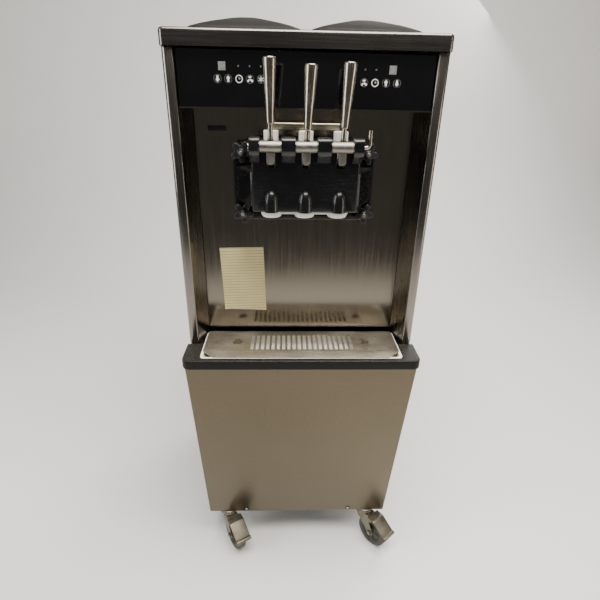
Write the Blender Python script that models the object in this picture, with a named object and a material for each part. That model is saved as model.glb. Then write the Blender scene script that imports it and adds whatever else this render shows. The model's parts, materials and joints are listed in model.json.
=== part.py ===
"""Floor-standing soft-serve ice cream machine with three draw levers and two hoppers.

Run with: blender --background --python part.py
Metres, +Z up. The origin is on the floor at the centre of the footprint; the levers face -Y.
"""
from math import cos, pi, radians, sin, tau

import bmesh
import bpy
from mathutils import Matrix, Vector

# ---------------------------------------------------------------- driving dimensions
GAP = 0.0003                # clearance kept between neighbouring pieces
SHEET = 0.0015              # stainless sheet
ROUND = 16                  # sides of an ordinary round piece

WIDTH = 0.540               # cabinet, across
REAR = 0.363                # outer face of the rear panel
PILLAR_FRONT = -0.296       # front plane of the upper cabinet
RECESS_DEPTH = 0.078        # from the pillars' front to the splash panel
OPENING_HALF = 0.2472       # half the opening between the pillars, at their front
SPLASH_HALF = 0.2331        # half the recess at the splash panel
SPLASH = PILLAR_FRONT + RECESS_DEPTH

CABINET_BOTTOM = 0.125
LOWER_TOP = 0.7245          # top of the lower front panel
LOWER_TOP_FRONT = -0.3657   # its front at the top
LOWER_BOTTOM_FRONT = -0.2527    # its front at the bottom, set back for the user's feet
SURROUND_FRONT = -0.375
SURROUND_HALF = 0.275
SURROUND_TOP = 0.748
TRIM_BOTTOM = 1.3735
TRIM_TOP = 1.4035
TRIM_FRONT = -0.302
TRIM_HALF = 0.271
DECK_TOP = 1.3875
GLASS_BOTTOM = 1.2727

LEVER_PITCH = 0.068         # between neighbouring levers, valves and nozzles
PIVOT_Y, PIVOT_Z = -0.354, 1.2074
VALVE_Y = -0.314
HEAD_FRONT = -0.341
HEAD_BOTTOM, HEAD_TOP = 1.080, 1.216
KNOB_X = 0.131
KNOB_LEVELS = (1.062, 1.188)
BARREL_Z = 1.126
BARREL_BORE = 0.052
BARREL_OUTER = 0.066
BARREL_END = 0.090

HOPPER_X = 0.1225           # centre of each hopper, left and right
AIR_TUBE_Y = -0.020

WHEEL_RADIUS = 0.050
CASTER_TRAIL = 0.042
FRONT_CASTER = (0.215, -0.232)
REAR_CASTER = (0.215, 0.285)

PULLEY_Y = (0.170, 0.192)
GEAR_PULLEY_RADIUS = 0.045
MOTOR_PULLEY_RADIUS = 0.025
MOTOR_Z = 0.790
SHELF_TOP = 0.700

FAN_CENTRE = Vector((0.185, 0.075, 0.330))

# ---------------------------------------------------------------- finishes
# name: (colour, roughness, metallic)
FINISHES = {
    "stainless": ((0.42, 0.39, 0.34), 0.34, 1.0),
    "polished_steel": ((0.72, 0.69, 0.63), 0.14, 1.0),
    "zinc_steel": ((0.45, 0.43, 0.38), 0.42, 1.0),
    "frame_steel": ((0.20, 0.20, 0.21), 0.55, 0.6),
    "black_acetal": ((0.012, 0.012, 0.013), 0.30, 0.0),
    "black_moulding": ((0.022, 0.022, 0.021), 0.48, 0.0),
    "white_plastic": ((0.80, 0.78, 0.72), 0.40, 0.0),
    "black_glass": ((0.006, 0.006, 0.009), 0.08, 0.0),
    "circuit_board": ((0.02, 0.16, 0.06), 0.55, 0.0),
    "tyre_rubber": ((0.07, 0.07, 0.065), 0.70, 0.0),
    "drive_rubber": ((0.03, 0.03, 0.03), 0.80, 0.0),
    "cast_iron": ((0.09, 0.10, 0.11), 0.60, 0.5),
    "fin_aluminium": ((0.62, 0.62, 0.62), 0.40, 1.0),
    "motor_enamel": ((0.05, 0.06, 0.08), 0.45, 0.0),
}


def finish_material(piece, finish):
    """One Principled material for a piece, in the named finish."""
    colour, roughness, metallic = FINISHES[finish]
    material = bpy.data.materials.new(piece + "_" + finish)
    material.use_nodes = True
    shader = material.node_tree.nodes["Principled BSDF"]
    shader.inputs["Base Color"].default_value = (*colour, 1.0)
    shader.inputs["Roughness"].default_value = roughness
    shader.inputs["Metallic"].default_value = metallic
    return material


# ---------------------------------------------------------------- shape tools
AXES = {
    "X": lambda u, v, w: (w, u, v),     # outline in (y, z), run along x
    "Y": lambda u, v, w: (u, w, v),     # outline in (x, z), run along y
    "Z": lambda u, v, w: (u, v, w),     # outline in (x, y), run along z
}


def closed(shape):
    """Faces of a closed shape turned outwards."""
    bmesh.ops.recalc_face_normals(shape, faces=shape.faces)
    return shape


def loft(rings):
    """A solid through rings of equal point count, with flat caps at both ends."""
    shape = bmesh.new()
    loops = [[shape.verts.new(point) for point in ring] for ring in rings]
    count = len(loops[0])
    for low, high in zip(loops, loops[1:]):
        for i in range(count):
            j = (i + 1) % count
            shape.faces.new((low[i], low[j], high[j], high[i]))
    shape.faces.new(list(reversed(loops[0])))
    shape.faces.new(loops[-1])
    return closed(shape)


def prism(outline, axis, start, end):
    """An outline carried straight along an axis."""
    place = AXES[axis]
    return loft([[place(u, v, w) for u, v in outline] for w in (start, end)])


def box(x, y, z):
    """A block between two limits on each axis."""
    return prism([(x[0], y[0]), (x[1], y[0]), (x[1], y[1]), (x[0], y[1])], "Z", *z)


def circle(radius, steps=ROUND, centre=(0.0, 0.0), turn=0.5):
    """A round outline; turn 0.5 puts a flat, not a corner, on each axis."""
    angles = [tau * (i + turn) / steps for i in range(steps)]
    return [(centre[0] + radius * cos(a), centre[1] + radius * sin(a)) for a in angles]


def rod(radius, axis, centre, start, end, steps=ROUND):
    """A round bar along an axis, about a centre in the other two coordinates."""
    return prism(circle(radius, steps, centre), axis, start, end)


def rounded_rectangle(x, y, radius, corner_steps=3):
    """An outline with quarter-round corners between two limits each way."""
    corners = ((x[1], y[1], 0), (x[0], y[1], 1), (x[0], y[0], 2), (x[1], y[0], 3))
    outline = []
    for cx, cy, quarter in corners:
        middle = (cx - radius if quarter in (0, 3) else cx + radius,
                  cy - radius if quarter in (0, 1) else cy + radius)
        for i in range(corner_steps + 1):
            angle = (quarter + i / corner_steps) * pi / 2
            outline.append((middle[0] + radius * cos(angle), middle[1] + radius * sin(angle)))
    return outline


def turned(profile, axis, centre, steps=ROUND, ring=False):
    """A profile of (radius, height) spun about an axis; a ring profile joins its own start."""
    place = AXES[axis]
    shape = bmesh.new()
    loops = []
    for radius, height in profile:
        if radius == 0:
            loops.append([shape.verts.new(place(centre[0], centre[1], height))])
        else:
            loops.append([shape.verts.new(place(u, v, height)) for u, v in circle(radius, steps, centre)])
    pairs = list(zip(loops, loops[1:]))
    if ring:
        pairs.append((loops[-1], loops[0]))
    for low, high in pairs:
        for i in range(steps):
            j = (i + 1) % steps
            corners = [low[i % len(low)], low[j % len(low)], high[j % len(high)], high[i % len(high)]]
            shape.faces.new(list(dict.fromkeys(corners)))
    return closed(shape)


def swept(points, radius, sides=8):
    """A round bar through a list of points, with flat ends."""
    path = [Vector(point) for point in points]
    rings = []
    side = Vector((0, 1, 0))
    for i, point in enumerate(path):
        before, after = path[max(i - 1, 0)], path[min(i + 1, len(path) - 1)]
        along = (after - before).normalized()
        across = along.cross(side).normalized()
        rings.append([point + radius * (cos(tau * k / sides) * side + sin(tau * k / sides) * across)
                      for k in range(sides)])
    return loft(rings)


def moved(shape, matrix):
    """The same shape after a move or a turn."""
    bmesh.ops.transform(shape, matrix=matrix, verts=shape.verts)
    return shape


def helper_object(shape):
    mesh = bpy.data.meshes.new("helper")
    shape.to_mesh(mesh)
    shape.free()
    helper = bpy.data.objects.new("helper", mesh)
    bpy.context.scene.collection.objects.link(helper)
    return helper


def combined(base, tools, operation):
    """The base with each tool joined to it (UNION) or taken out of it (DIFFERENCE)."""
    target = helper_object(base)
    helpers = [helper_object(tool) for tool in tools]
    for helper in helpers:
        modifier = target.modifiers.new("combine", "BOOLEAN")
        modifier.operation = operation
        modifier.solver = "EXACT"
        modifier.object = helper
    result = bmesh.new()
    result.from_object(target, bpy.context.evaluated_depsgraph_get())
    for helper in [target, *helpers]:
        bpy.data.objects.remove(helper)
    bmesh.ops.remove_doubles(result, verts=result.verts, dist=0.000005)
    bmesh.ops.dissolve_degenerate(result, edges=result.edges, dist=0.000005)
    return result


def joined(base, *tools):
    return combined(base, tools, "UNION")


def cut(base, *tools):
    return combined(base, tools, "DIFFERENCE")


def piece(name, finish, shape, origin=(0.0, 0.0, 0.0)):
    """One named solid, with its object's origin at the given place."""
    moved(shape, Matrix.Translation(-Vector(origin)))
    mesh = bpy.data.meshes.new(name)
    shape.to_mesh(mesh)
    shape.free()
    mesh.shade_smooth()
    mesh.set_sharp_from_angle(angle=radians(32))
    mesh.materials.append(finish_material(name, finish))
    result = bpy.data.objects.new(name, mesh)
    result.location = origin
    bpy.context.scene.collection.objects.link(result)
    return result


SIDES = (("left", -1), ("right", 1))


def across(side, near, far):
    """Limits along x for a piece on one side of the middle, lowest first."""
    return tuple(sorted((side * near, side * far)))


# ---------------------------------------------------------------- cabinet
def slant_front(z):
    """Front of the lower panel at a height: it runs back towards the floor."""
    share = (z - CABINET_BOTTOM) / (LOWER_TOP - CABINET_BOTTOM)
    return LOWER_BOTTOM_FRONT + share * (LOWER_TOP_FRONT - LOWER_BOTTOM_FRONT)


def recess_half(y):
    """Half the recess at a depth, between the pillars' angled returns."""
    share = (y - PILLAR_FRONT) / RECESS_DEPTH
    return OPENING_HALF + share * (SPLASH_HALF - OPENING_HALF)


FLANGE = 0.016              # folded side edges of the lower front panel
POST = (0.240, 0.2625)      # frame posts, across
FRONT_POST = (-0.2077, -0.1870)
REAR_POST = (0.3300, 0.3520)


def main_frame():
    """Welded chassis: base pan, four posts, motor shelf, and rails under the top deck."""
    pan = box((-0.2625, 0.2625), (-0.2508, 0.3520), (CABINET_BOTTOM + GAP, 0.150))
    pan = cut(pan, box((-0.2565, 0.2565), (-0.2448, 0.3460), (0.1285, 0.160)))
    members = []
    for _, side in SIDES:
        for depth in (FRONT_POST, REAR_POST):
            members.append(box(across(side, *POST), depth, (0.1270, 1.3660)))
        members.append(box(across(side, 0.2410, 0.2615), (-0.1950, 0.3400), (1.3450, 1.3640)))
    members.append(box((-0.2600, 0.2600), (0.3310, 0.3510), (1.3440, 1.3630)))
    members.append(box((-0.2612, 0.2612), (-0.2060, 0.3400), (SHELF_TOP - 0.006, SHELF_TOP)))
    piece("main_frame", "frame_steel", joined(pan, *members))


def side_panels():
    """Outer sheets, cut to the slanted front below and set behind the pillars above."""
    back = REAR - SHEET - GAP
    outline = [
        (back, CABINET_BOTTOM), (slant_front(CABINET_BOTTOM) + FLANGE + GAP, CABINET_BOTTOM),
        (slant_front(LOWER_TOP) + FLANGE + GAP, LOWER_TOP), (PILLAR_FRONT + 0.0265, LOWER_TOP),
        (PILLAR_FRONT + 0.0265, TRIM_BOTTOM - GAP), (back, TRIM_BOTTOM - GAP),
    ]
    for name, side in SIDES:
        x = across(side, WIDTH / 2 - SHEET, WIDTH / 2)
        louvres = [box(across(side, 0.260, 0.280), (-0.020, 0.170), (z, z + 0.008))
                   for z in (0.220 + 0.036 * i for i in range(7))]
        piece(name + "_side_panel", "stainless", cut(prism(outline, "X", *x), *louvres))


def rear_panel():
    """Rear sheet with two banks of louvres and the cable's hole."""
    sheet = box((-WIDTH / 2, WIDTH / 2), (REAR - SHEET, REAR), (CABINET_BOTTOM, TRIM_BOTTOM - GAP))
    y = (REAR - 0.01, REAR + 0.01)
    louvres = [box((-0.140, 0.140), y, (z, z + 0.008)) for z in (0.240 + 0.036 * i for i in range(7))]
    louvres += [box((-0.140, 0.140), y, (z, z + 0.008)) for z in (0.860 + 0.036 * i for i in range(5))]
    hole = rod(0.0085 + GAP, "Y", (0.200, 0.180), *y, 12)
    piece("rear_panel", "stainless", cut(sheet, *louvres, hole))


def lower_front_panel():
    """Slanted service panel with folded side edges and two screw holes near its foot."""
    def slanted(inset):
        return [(slant_front(z) + inset, z) for z in (CABINET_BOTTOM, LOWER_TOP)]

    outer = slanted(0.0) + list(reversed(slanted(FLANGE)))
    shell = prism(outer, "X", -WIDTH / 2, WIDTH / 2)
    reach = 0.01
    inner = [(slant_front(z) + SHEET, z) for z in (CABINET_BOTTOM - reach, LOWER_TOP + reach)]
    inner += [(slant_front(z) + 0.04, z) for z in (LOWER_TOP + reach, CABINET_BOTTOM - reach)]
    hollow = prism(inner, "X", -WIDTH / 2 + SHEET, WIDTH / 2 - SHEET)
    holes = [rod(0.0055, "Y", (side * 0.157, CABINET_BOTTOM + 0.009), -0.30, -0.24, 12) for _, side in SIDES]
    piece("lower_front_panel", "stainless", cut(shell, hollow, *holes))


def pillars():
    """Folded uprights: short outer wrap, rounded corner, front face, angled return to the splash."""
    corner = 0.008
    bottom = LOWER_TOP + GAP
    for name, side in SIDES:
        outer = WIDTH / 2
        points = [(outer, PILLAR_FRONT + 0.0262)]
        for i in range(4):
            angle = i / 3 * pi / 2
            points.append((outer - corner + corner * cos(angle), PILLAR_FRONT + corner - corner * sin(angle)))
        points += [(OPENING_HALF, PILLAR_FRONT), (SPLASH_HALF, SPLASH)]
        points += [(SPLASH_HALF + 0.0016, SPLASH), (OPENING_HALF + 0.0013, PILLAR_FRONT + SHEET)]
        for i in reversed(range(4)):
            angle = i / 3 * pi / 2
            reach = corner - SHEET
            points.append((outer - corner + reach * cos(angle), PILLAR_FRONT + corner - reach * sin(angle)))
        points.append((outer - SHEET, PILLAR_FRONT + 0.0262))
        outline = [(side * x, y) for x, y in points]
        piece(name + "_pillar", "stainless", prism(outline, "Z", bottom, TRIM_BOTTOM - GAP))


def splash_panel():
    """Recess back sheet, with a window for the head's ports and four stud holes."""
    y = (SPLASH, SPLASH + SHEET)
    sheet = box((-SPLASH_HALF + 0.0006, SPLASH_HALF - 0.0006), y, (0.7550, TRIM_BOTTOM - GAP))
    reach = (SPLASH - 0.01, SPLASH + 0.01)
    window = prism(rounded_rectangle((-0.118, 0.118), (1.080, 1.172), 0.020), "Y", *reach)
    holes = [rod(0.0065, "Y", (side * KNOB_X, z), *reach, 8) for _, side in SIDES for z in KNOB_LEVELS]
    piece("splash_panel", "stainless", cut(sheet, window, *holes))


def top_trim():
    """Band around the top edge, rounded at its corners, with a rolled upper lip."""
    y = (TRIM_FRONT, REAR + 0.0020)
    band = prism(rounded_rectangle((-TRIM_HALF, TRIM_HALF), y, 0.010), "Z", TRIM_BOTTOM, TRIM_TOP)
    inner = rounded_rectangle((-TRIM_HALF + 0.014, TRIM_HALF - 0.014), (y[0] + 0.014, y[1] - 0.014), 0.006)
    piece("top_trim", "stainless", cut(band, prism(inner, "Z", TRIM_BOTTOM - 0.01, TRIM_TOP + 0.01)))


def hopper_limits(side, spread=0.0):
    """Limits of a hopper's inside, across and along, grown by a spread."""
    x = across(side, HOPPER_X - 0.104, HOPPER_X + 0.104)
    y = (-0.2040, 0.1200)
    return (x[0] - spread, x[1] + spread), (y[0] - spread, y[1] + spread)


def top_deck():
    """Deck sheet inside the trim, with a hole for each hopper."""
    inside = TRIM_HALF - 0.014 - GAP
    y = (TRIM_FRONT + 0.014 + GAP, REAR + 0.0020 - 0.014 - GAP)
    sheet = prism(rounded_rectangle((-inside, inside), y, 0.006), "Z", DECK_TOP - 0.0025, DECK_TOP)
    holes = []
    for _, side in SIDES:
        x, along = hopper_limits(side, 0.0021)
        holes.append(prism(rounded_rectangle(x, along, 0.026), "Z", DECK_TOP - 0.02, DECK_TOP + 0.02))
    piece("top_deck", "stainless", cut(sheet, *holes))


# ---------------------------------------------------------------- controls
GLASS_Y = (-0.2900, -0.2860)


def controls():
    """Black glass panel, the bracket that holds it, and the circuit board behind it."""
    front, back = GLASS_Y[0] - 0.0015, SPLASH - GAP
    top = TRIM_BOTTOM - GAP

    def trapezium(y0, y1, margin):
        a, b = recess_half(y0) - margin, recess_half(y1) - margin
        return [(-a, y0), (a, y0), (b, y1), (-b, y1)]

    bracket = prism(trapezium(front, back, 0.0006), "Z", GLASS_BOTTOM - 0.0032, top)
    seat = prism(trapezium(front - 0.01, GLASS_Y[1] + GAP, -0.02), "Z", GLASS_BOTTOM, top + 0.01)
    cavity = prism(trapezium(GLASS_Y[1] - 0.01, back + 0.01, 0.0026), "Z", GLASS_BOTTOM, top - 0.002)
    piece("control_housing", "stainless", cut(bracket, seat, cavity))
    half = recess_half(GLASS_Y[1]) - 0.0008
    piece("control_glass", "black_glass", box((-half, half), GLASS_Y, (GLASS_BOTTOM + GAP, top)))
    board = box((-0.200, 0.200), (-0.2780, -0.2760), (GLASS_BOTTOM + 0.012, top - 0.014))
    chips = [box((x, x + 0.030), (-0.2765, -0.2700), (1.310, 1.330)) for x in (-0.150, -0.020, 0.110)]
    piece("control_board", "circuit_board", joined(board, *chips))


# ---------------------------------------------------------------- drip tray
TRAY_HALF = 0.2315
TRAY_Y = (-0.3570, -0.2345)
TRAY_BOTTOM = 0.7120
RIM = (0.7449, 0.7472)
COVER = (0.7475, 0.7493)


def tray_surround():
    """Black moulded shelf edge: a front bar and two ends, rebated for the tray's rim."""
    outline = rounded_rectangle((-SURROUND_HALF, SURROUND_HALF), (SURROUND_FRONT, -0.20), 0.012)
    slab = prism(outline, "Z", LOWER_TOP + GAP, SURROUND_TOP)
    behind = box((-0.30, 0.30), (PILLAR_FRONT - GAP, 0.0), (0.70, 0.80))
    well = box((-TRAY_HALF - 0.0013, TRAY_HALF + 0.0013), (TRAY_Y[0] - 0.0013, 0.0), (0.70, 0.80))
    rebate = box((-TRAY_HALF - 0.0047, TRAY_HALF + 0.0047), (TRAY_Y[0] - 0.0047, 0.0), (RIM[0] - GAP, 0.80))
    piece("tray_surround", "black_moulding", cut(slab, behind, well, rebate))


def drip_tray():
    """White basin with a rim that rests in the surround's rebate."""
    def ring(spread, z, radius=0.010):
        x = (-TRAY_HALF - spread, TRAY_HALF + spread)
        y = (TRAY_Y[0] - spread, TRAY_Y[1])
        return [(u, v, z) for u, v in rounded_rectangle(x, y, radius)]

    def inner(inset, z):
        x = (-TRAY_HALF + inset, TRAY_HALF - inset)
        return [(u, v, z) for u, v in rounded_rectangle(x, (TRAY_Y[0] + inset, TRAY_Y[1] - inset), 0.009)]

    rings = [inner(0.0045, TRAY_BOTTOM + 0.0025), inner(0.0025, RIM[1]), ring(0.0040, RIM[1]),
             ring(0.0040, RIM[0]), ring(0.0, RIM[0]), ring(-0.0020, TRAY_BOTTOM)]
    piece("drip_tray", "white_plastic", loft(rings), (0.0, TRAY_Y[0], TRAY_BOTTOM))


def drip_tray_cover():
    """Stainless plate with chamfered front corners, twenty drain slots and two finger holes."""
    half, front, rear = 0.2322, -0.3595, -0.2345
    chamfer = 0.020
    outline = [(-half, rear), (-half, front + chamfer), (-half + chamfer, front),
               (half - chamfer, front), (half, front + chamfer), (half, rear)]
    plate = prism(outline, "Z", *COVER)
    slots = []
    count, pitch, width = 20, 0.0131, 0.0064
    for i in range(count):
        x = (i - (count - 1) / 2) * pitch
        slots.append(box((x - width / 2, x + width / 2), (-0.3240, -0.2540), (0.74, 0.76)))
    fingers = [rod(0.0120, "Z", (side * 0.155, -0.288), 0.74, 0.76, 12) for _, side in SIDES]
    piece("drip_tray_cover", "stainless", cut(plate, *slots, *fingers), (0.0, front, COVER[0]))


# ---------------------------------------------------------------- hoppers
HOPPER_FLOOR = 1.2050
FLANGE_TOP = DECK_TOP + GAP + 0.0015


def hoppers():
    """Stainless tubs hung from the deck by a flange, each with a neck over its barrel."""
    for name, side in SIDES:
        def ring(spread, z, radius):
            return [(u, v, z) for u, v in rounded_rectangle(*hopper_limits(side, spread), radius)]

        tub = loft([
            ring(-0.016, HOPPER_FLOOR + 0.0018, 0.012), ring(0.0, HOPPER_FLOOR + 0.018, 0.024),
            ring(0.0, FLANGE_TOP, 0.024), ring(0.0080, FLANGE_TOP, 0.030),
            ring(0.0080, DECK_TOP + GAP, 0.030), ring(0.0016, DECK_TOP + GAP, 0.0255),
            ring(0.0016, HOPPER_FLOOR + 0.017, 0.0255), ring(-0.015, HOPPER_FLOOR, 0.013),
        ])
        middle = (side * LEVER_PITCH, AIR_TUBE_Y)
        neck = rod(0.0150, "Z", middle, BARREL_Z + BARREL_OUTER + 0.0006, HOPPER_FLOOR + 0.001)
        bore = rod(0.0100 + GAP, "Z", middle, 1.18, 1.22, 12)
        piece(name + "_hopper", "stainless", cut(joined(tub, neck), bore))


def hopper_lids():
    """Black moulded covers: upright edge and a broad, low dome that is longer than it is wide."""
    for name, side in SIDES:
        base = FLANGE_TOP + GAP

        def ring(x_inset, y_inset, z):
            x = (HOPPER_X - 0.1165 + x_inset, HOPPER_X + 0.1165 - x_inset)
            y = (-0.2330 + y_inset, 0.1480 - y_inset)
            corner = 0.034 - y_inset * 0.25
            return [(u, v, z) for u, v in rounded_rectangle(across(side, *x), y, corner)]

        under = [ring(0.0960, 0.0860, base + 0.0485), ring(0.0750, 0.0530, base + 0.0420),
                 ring(0.0370, 0.0220, base + 0.0320), ring(0.0035, 0.0035, base + 0.0225),
                 ring(0.0030, 0.0030, base)]
        over = [ring(0.0, 0.0, base), ring(0.0, 0.0, base + 0.0260), ring(0.0350, 0.0200, base + 0.0355),
                ring(0.0740, 0.0500, base + 0.0455), ring(0.0930, 0.0800, base + 0.0515),
                ring(0.1040, 0.1000, base + 0.0545)]
        rings = under + over
        piece(name + "_hopper_lid", "black_moulding", loft(rings), (side * HOPPER_X, -0.0425, base))


def air_tubes():
    """Feed tubes that stand in the hopper necks, with a collar and an open bore."""
    for name, side in SIDES:
        middle = (side * LEVER_PITCH, AIR_TUBE_Y)
        profile = [(0.0060, 1.1850), (0.0097, 1.1850), (0.0097, 1.2250), (0.0125, 1.2270),
                   (0.0125, 1.2320), (0.0097, 1.2340), (0.0097, 1.3500), (0.0060, 1.3500)]
        tube = turned(profile, "Z", middle, 12, ring=True)
        piece(name + "_air_tube", "polished_steel", tube, (*middle, 1.1850))


# ---------------------------------------------------------------- freezing barrels and drive
def freezing_barrels():
    """Two insulated barrels welded to one front plate with four clamping studs."""
    plate_y = (-0.2162, -0.2080)
    plate = box((-0.2620, 0.2620), plate_y, (1.0400, 1.2030))
    parts = [rod(BARREL_OUTER, "Y", (side * LEVER_PITCH, BARREL_Z), plate_y[1] - 0.004, BARREL_END + 0.010, 20)
             for _, side in SIDES]
    parts += [rod(0.0050, "Y", (side * KNOB_X, z), -0.2800, plate_y[1] - 0.002, 8)
              for _, side in SIDES for z in KNOB_LEVELS]
    bores = []
    for _, side in SIDES:
        middle = (side * LEVER_PITCH, BARREL_Z)
        bores.append(rod(BARREL_BORE, "Y", middle, -0.230, BARREL_END, 20))
        bores.append(rod(0.0090, "Y", middle, 0.0, 0.120, 12))
        bores.append(rod(0.0100 + GAP, "Z", (side * LEVER_PITCH, AIR_TUBE_Y), BARREL_Z, 1.210, 12))
    piece("freezing_barrels", "stainless", cut(joined(plate, *parts), *bores))


def screw_flight(middle, start, end, pitch):
    """A helical blade as a solid strip: its inner edge lies inside the shaft."""
    steps = 10
    count = int(steps * (end - start) / pitch)
    rings = []
    for i in range(count + 1):
        angle = tau * i / steps
        y = start + pitch * i / steps
        ring = []
        for radius, shift in ((0.005, 0.0), (0.0490, 0.0), (0.0490, 0.004), (0.005, 0.004)):
            ring.append((middle[0] + radius * cos(angle), y + shift, middle[1] + radius * sin(angle)))
        rings.append(ring)
    return loft(rings)


def beaters():
    """Scraping augers: one shaft and one helical blade each, driven from the rear."""
    for name, side in SIDES:
        middle = (side * LEVER_PITCH, BARREL_Z)
        shaft = rod(0.0086, "Y", middle, -0.1950, 0.1150, 12)
        flight = screw_flight(middle, -0.1800, 0.0750, 0.085)
        piece(name + "_beater", "polished_steel", joined(shaft, flight), (middle[0], -0.195, middle[1]))


def gearboxes():
    """Reduction gearboxes behind the barrels, bored for the beater and the pulley shafts."""
    for name, side in SIDES:
        middle = (side * LEVER_PITCH, BARREL_Z)
        front = BARREL_END + 0.010 + GAP
        outline = rounded_rectangle((middle[0] - 0.058, middle[0] + 0.058), (BARREL_Z - 0.052, BARREL_Z + 0.052), 0.018)
        case = prism(outline, "Y", front, 0.155)
        nose = rod(0.026, "Y", middle, 0.150, 0.164)
        output = rod(0.0090, "Y", middle, 0.080, 0.1156, 12)
        inlet = rod(0.0065, "Y", middle, 0.1400, 0.1700, 12)
        piece(name + "_gearbox", "cast_iron", cut(joined(case, nose), output, inlet))


PULLEY_SIDES = 18


def grooved_pulley(radius, middle, shaft_radius, shaft_end):
    """A belt pulley and its shaft in one turning: two flanges and a flat groove."""
    y0, y1 = PULLEY_Y
    lip = radius + 0.005
    profile = [(0.0, shaft_end), (shaft_radius, shaft_end), (shaft_radius, y0), (lip, y0), (lip, y0 + 0.003),
               (radius, y0 + 0.004), (radius, y1 - 0.004), (lip, y1 - 0.003), (lip, y1), (0.0, y1)]
    return turned(profile, "Y", middle, PULLEY_SIDES)


def belt_outline(radii, centres, steps=7):
    """The taut loop around three pulleys: a round on each, joined by straight runs."""
    outline = []
    count = len(centres)
    for i in range(count):
        here = Vector(centres[i])
        normals = []
        for a, b in ((i - 1, i), (i, (i + 1) % count)):
            start, end = Vector(centres[a]), Vector(centres[b])
            run = end - start
            lean = (radii[a] - radii[b]) / run.length
            along = run.normalized()
            side = Vector((along.y, -along.x))
            normals.append(side * (1 - lean * lean) ** 0.5 + along * lean)
        turn = normals[0].angle_signed(normals[1])
        for k in range(steps + 1):
            normal = normals[0].copy()
            normal.rotate(Matrix.Rotation(-turn * k / steps, 2))
            outline.append(tuple(here + radii[i] * normal))
    return outline


def drive():
    """Motor on the shelf, one belt, and a pulley on each gearbox."""
    centres = [(0.0, MOTOR_Z), (LEVER_PITCH, BARREL_Z), (-LEVER_PITCH, BARREL_Z)]
    for name, side in SIDES:
        middle = (side * LEVER_PITCH, BARREL_Z)
        pulley = grooved_pulley(GEAR_PULLEY_RADIUS, middle, 0.0062, 0.1410)
        piece(name + "_gearbox_pulley", "cast_iron", pulley, (middle[0], PULLEY_Y[0], middle[1]))
    small = grooved_pulley(MOTOR_PULLEY_RADIUS, centres[0], 0.0075, 0.1450)
    piece("motor_pulley", "cast_iron", small, (0.0, PULLEY_Y[0], MOTOR_Z))

    body = rod(0.068, "Y", centres[0], -0.050, 0.140, 18)
    fan_cover = rod(0.060, "Y", centres[0], -0.085, -0.045, 18)
    foot = box((-0.070, 0.070), (-0.020, 0.110), (SHELF_TOP + GAP, 0.745))
    nose = rod(0.030, "Y", centres[0], 0.135, 0.150)
    seat = rod(0.0078 + GAP, "Y", centres[0], 0.140, 0.160, 12)
    piece("drive_motor", "motor_enamel", cut(joined(body, fan_cover, foot, nose), seat))

    slack = 0.0013              # keeps the belt's flats off the pulleys' corners
    inner = [MOTOR_PULLEY_RADIUS + slack] + [GEAR_PULLEY_RADIUS + slack] * 2
    outer = [radius + 0.006 for radius in inner]
    y = (PULLEY_Y[0] + 0.0046, PULLEY_Y[1] - 0.0046)
    loop = prism(belt_outline(outer, centres), "Y", *y)
    space = prism(belt_outline(inner, centres), "Y", y[0] - 0.01, y[1] + 0.01)
    piece("drive_belt", "drive_rubber", cut(loop, space))


# ---------------------------------------------------------------- refrigeration
def refrigeration():
    """Hermetic compressor, finned condenser by the right side, and its fan."""
    profile = [(0.0, 0.1290), (0.078, 0.1290), (0.088, 0.1450), (0.088, 0.3000), (0.078, 0.3400),
               (0.050, 0.3620), (0.0, 0.3700)]
    piece("compressor", "motor_enamel", turned(profile, "Z", (-0.120, 0.150), 20))

    fins, bottom, top = 12, 0.1290, 0.5200
    fin_pitch = (top - bottom) / fins
    outline = [(0.2520, bottom), (0.2520, top), (0.2080, top)]
    for i in range(fins - 1, 0, -1):
        z = bottom + fin_pitch * i
        outline += [(0.2080, z + 0.004), (0.2200, z + 0.004), (0.2200, z - 0.004), (0.2080, z - 0.004)]
    outline.append((0.2080, bottom))
    piece("condenser", "fin_aluminium", prism(outline, "Y", -0.080, 0.240))

    hub = rod(0.034, "X", FAN_CENTRE.yz, 0.1700, 0.2020)
    blades = []
    pitch, half_sheet = 0.28, 0.0011    # slope of a flat blade along the axis, half its thickness
    for i in range(5):
        blade = loft([[(-pitch * w - half_sheet, -w, z), (-pitch * w + half_sheet, -w, z),
                       (pitch * w + half_sheet, w, z), (pitch * w - half_sheet, w, z)]
                      for z, w in ((0.028, 0.016), (0.125, 0.034))])
        turn = Matrix.Rotation(tau * i / 5, 4, "X")
        blades.append(moved(blade, Matrix.Translation(FAN_CENTRE) @ turn))
    piece("condenser_fan", "fin_aluminium", joined(hub, *blades), FAN_CENTRE)


def cable_gland():
    """Screwed gland in the rear panel, where the supply cable enters."""
    profile = [(0.0040, 0.3520), (0.0085, 0.3520), (0.0085, REAR + GAP), (0.0140, REAR + GAP),
               (0.0140, 0.3690), (0.0100, 0.3750), (0.0040, 0.3750)]
    piece("cable_gland", "black_moulding", turned(profile, "Y", (0.200, 0.180), 10, ring=True))


# ---------------------------------------------------------------- dispensing head
LEVER_PLACES = (("left", -1), ("centre", 0), ("right", 1))
HUB_HALF = 0.0205
FLANGE_FRONT = -0.2520


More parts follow.
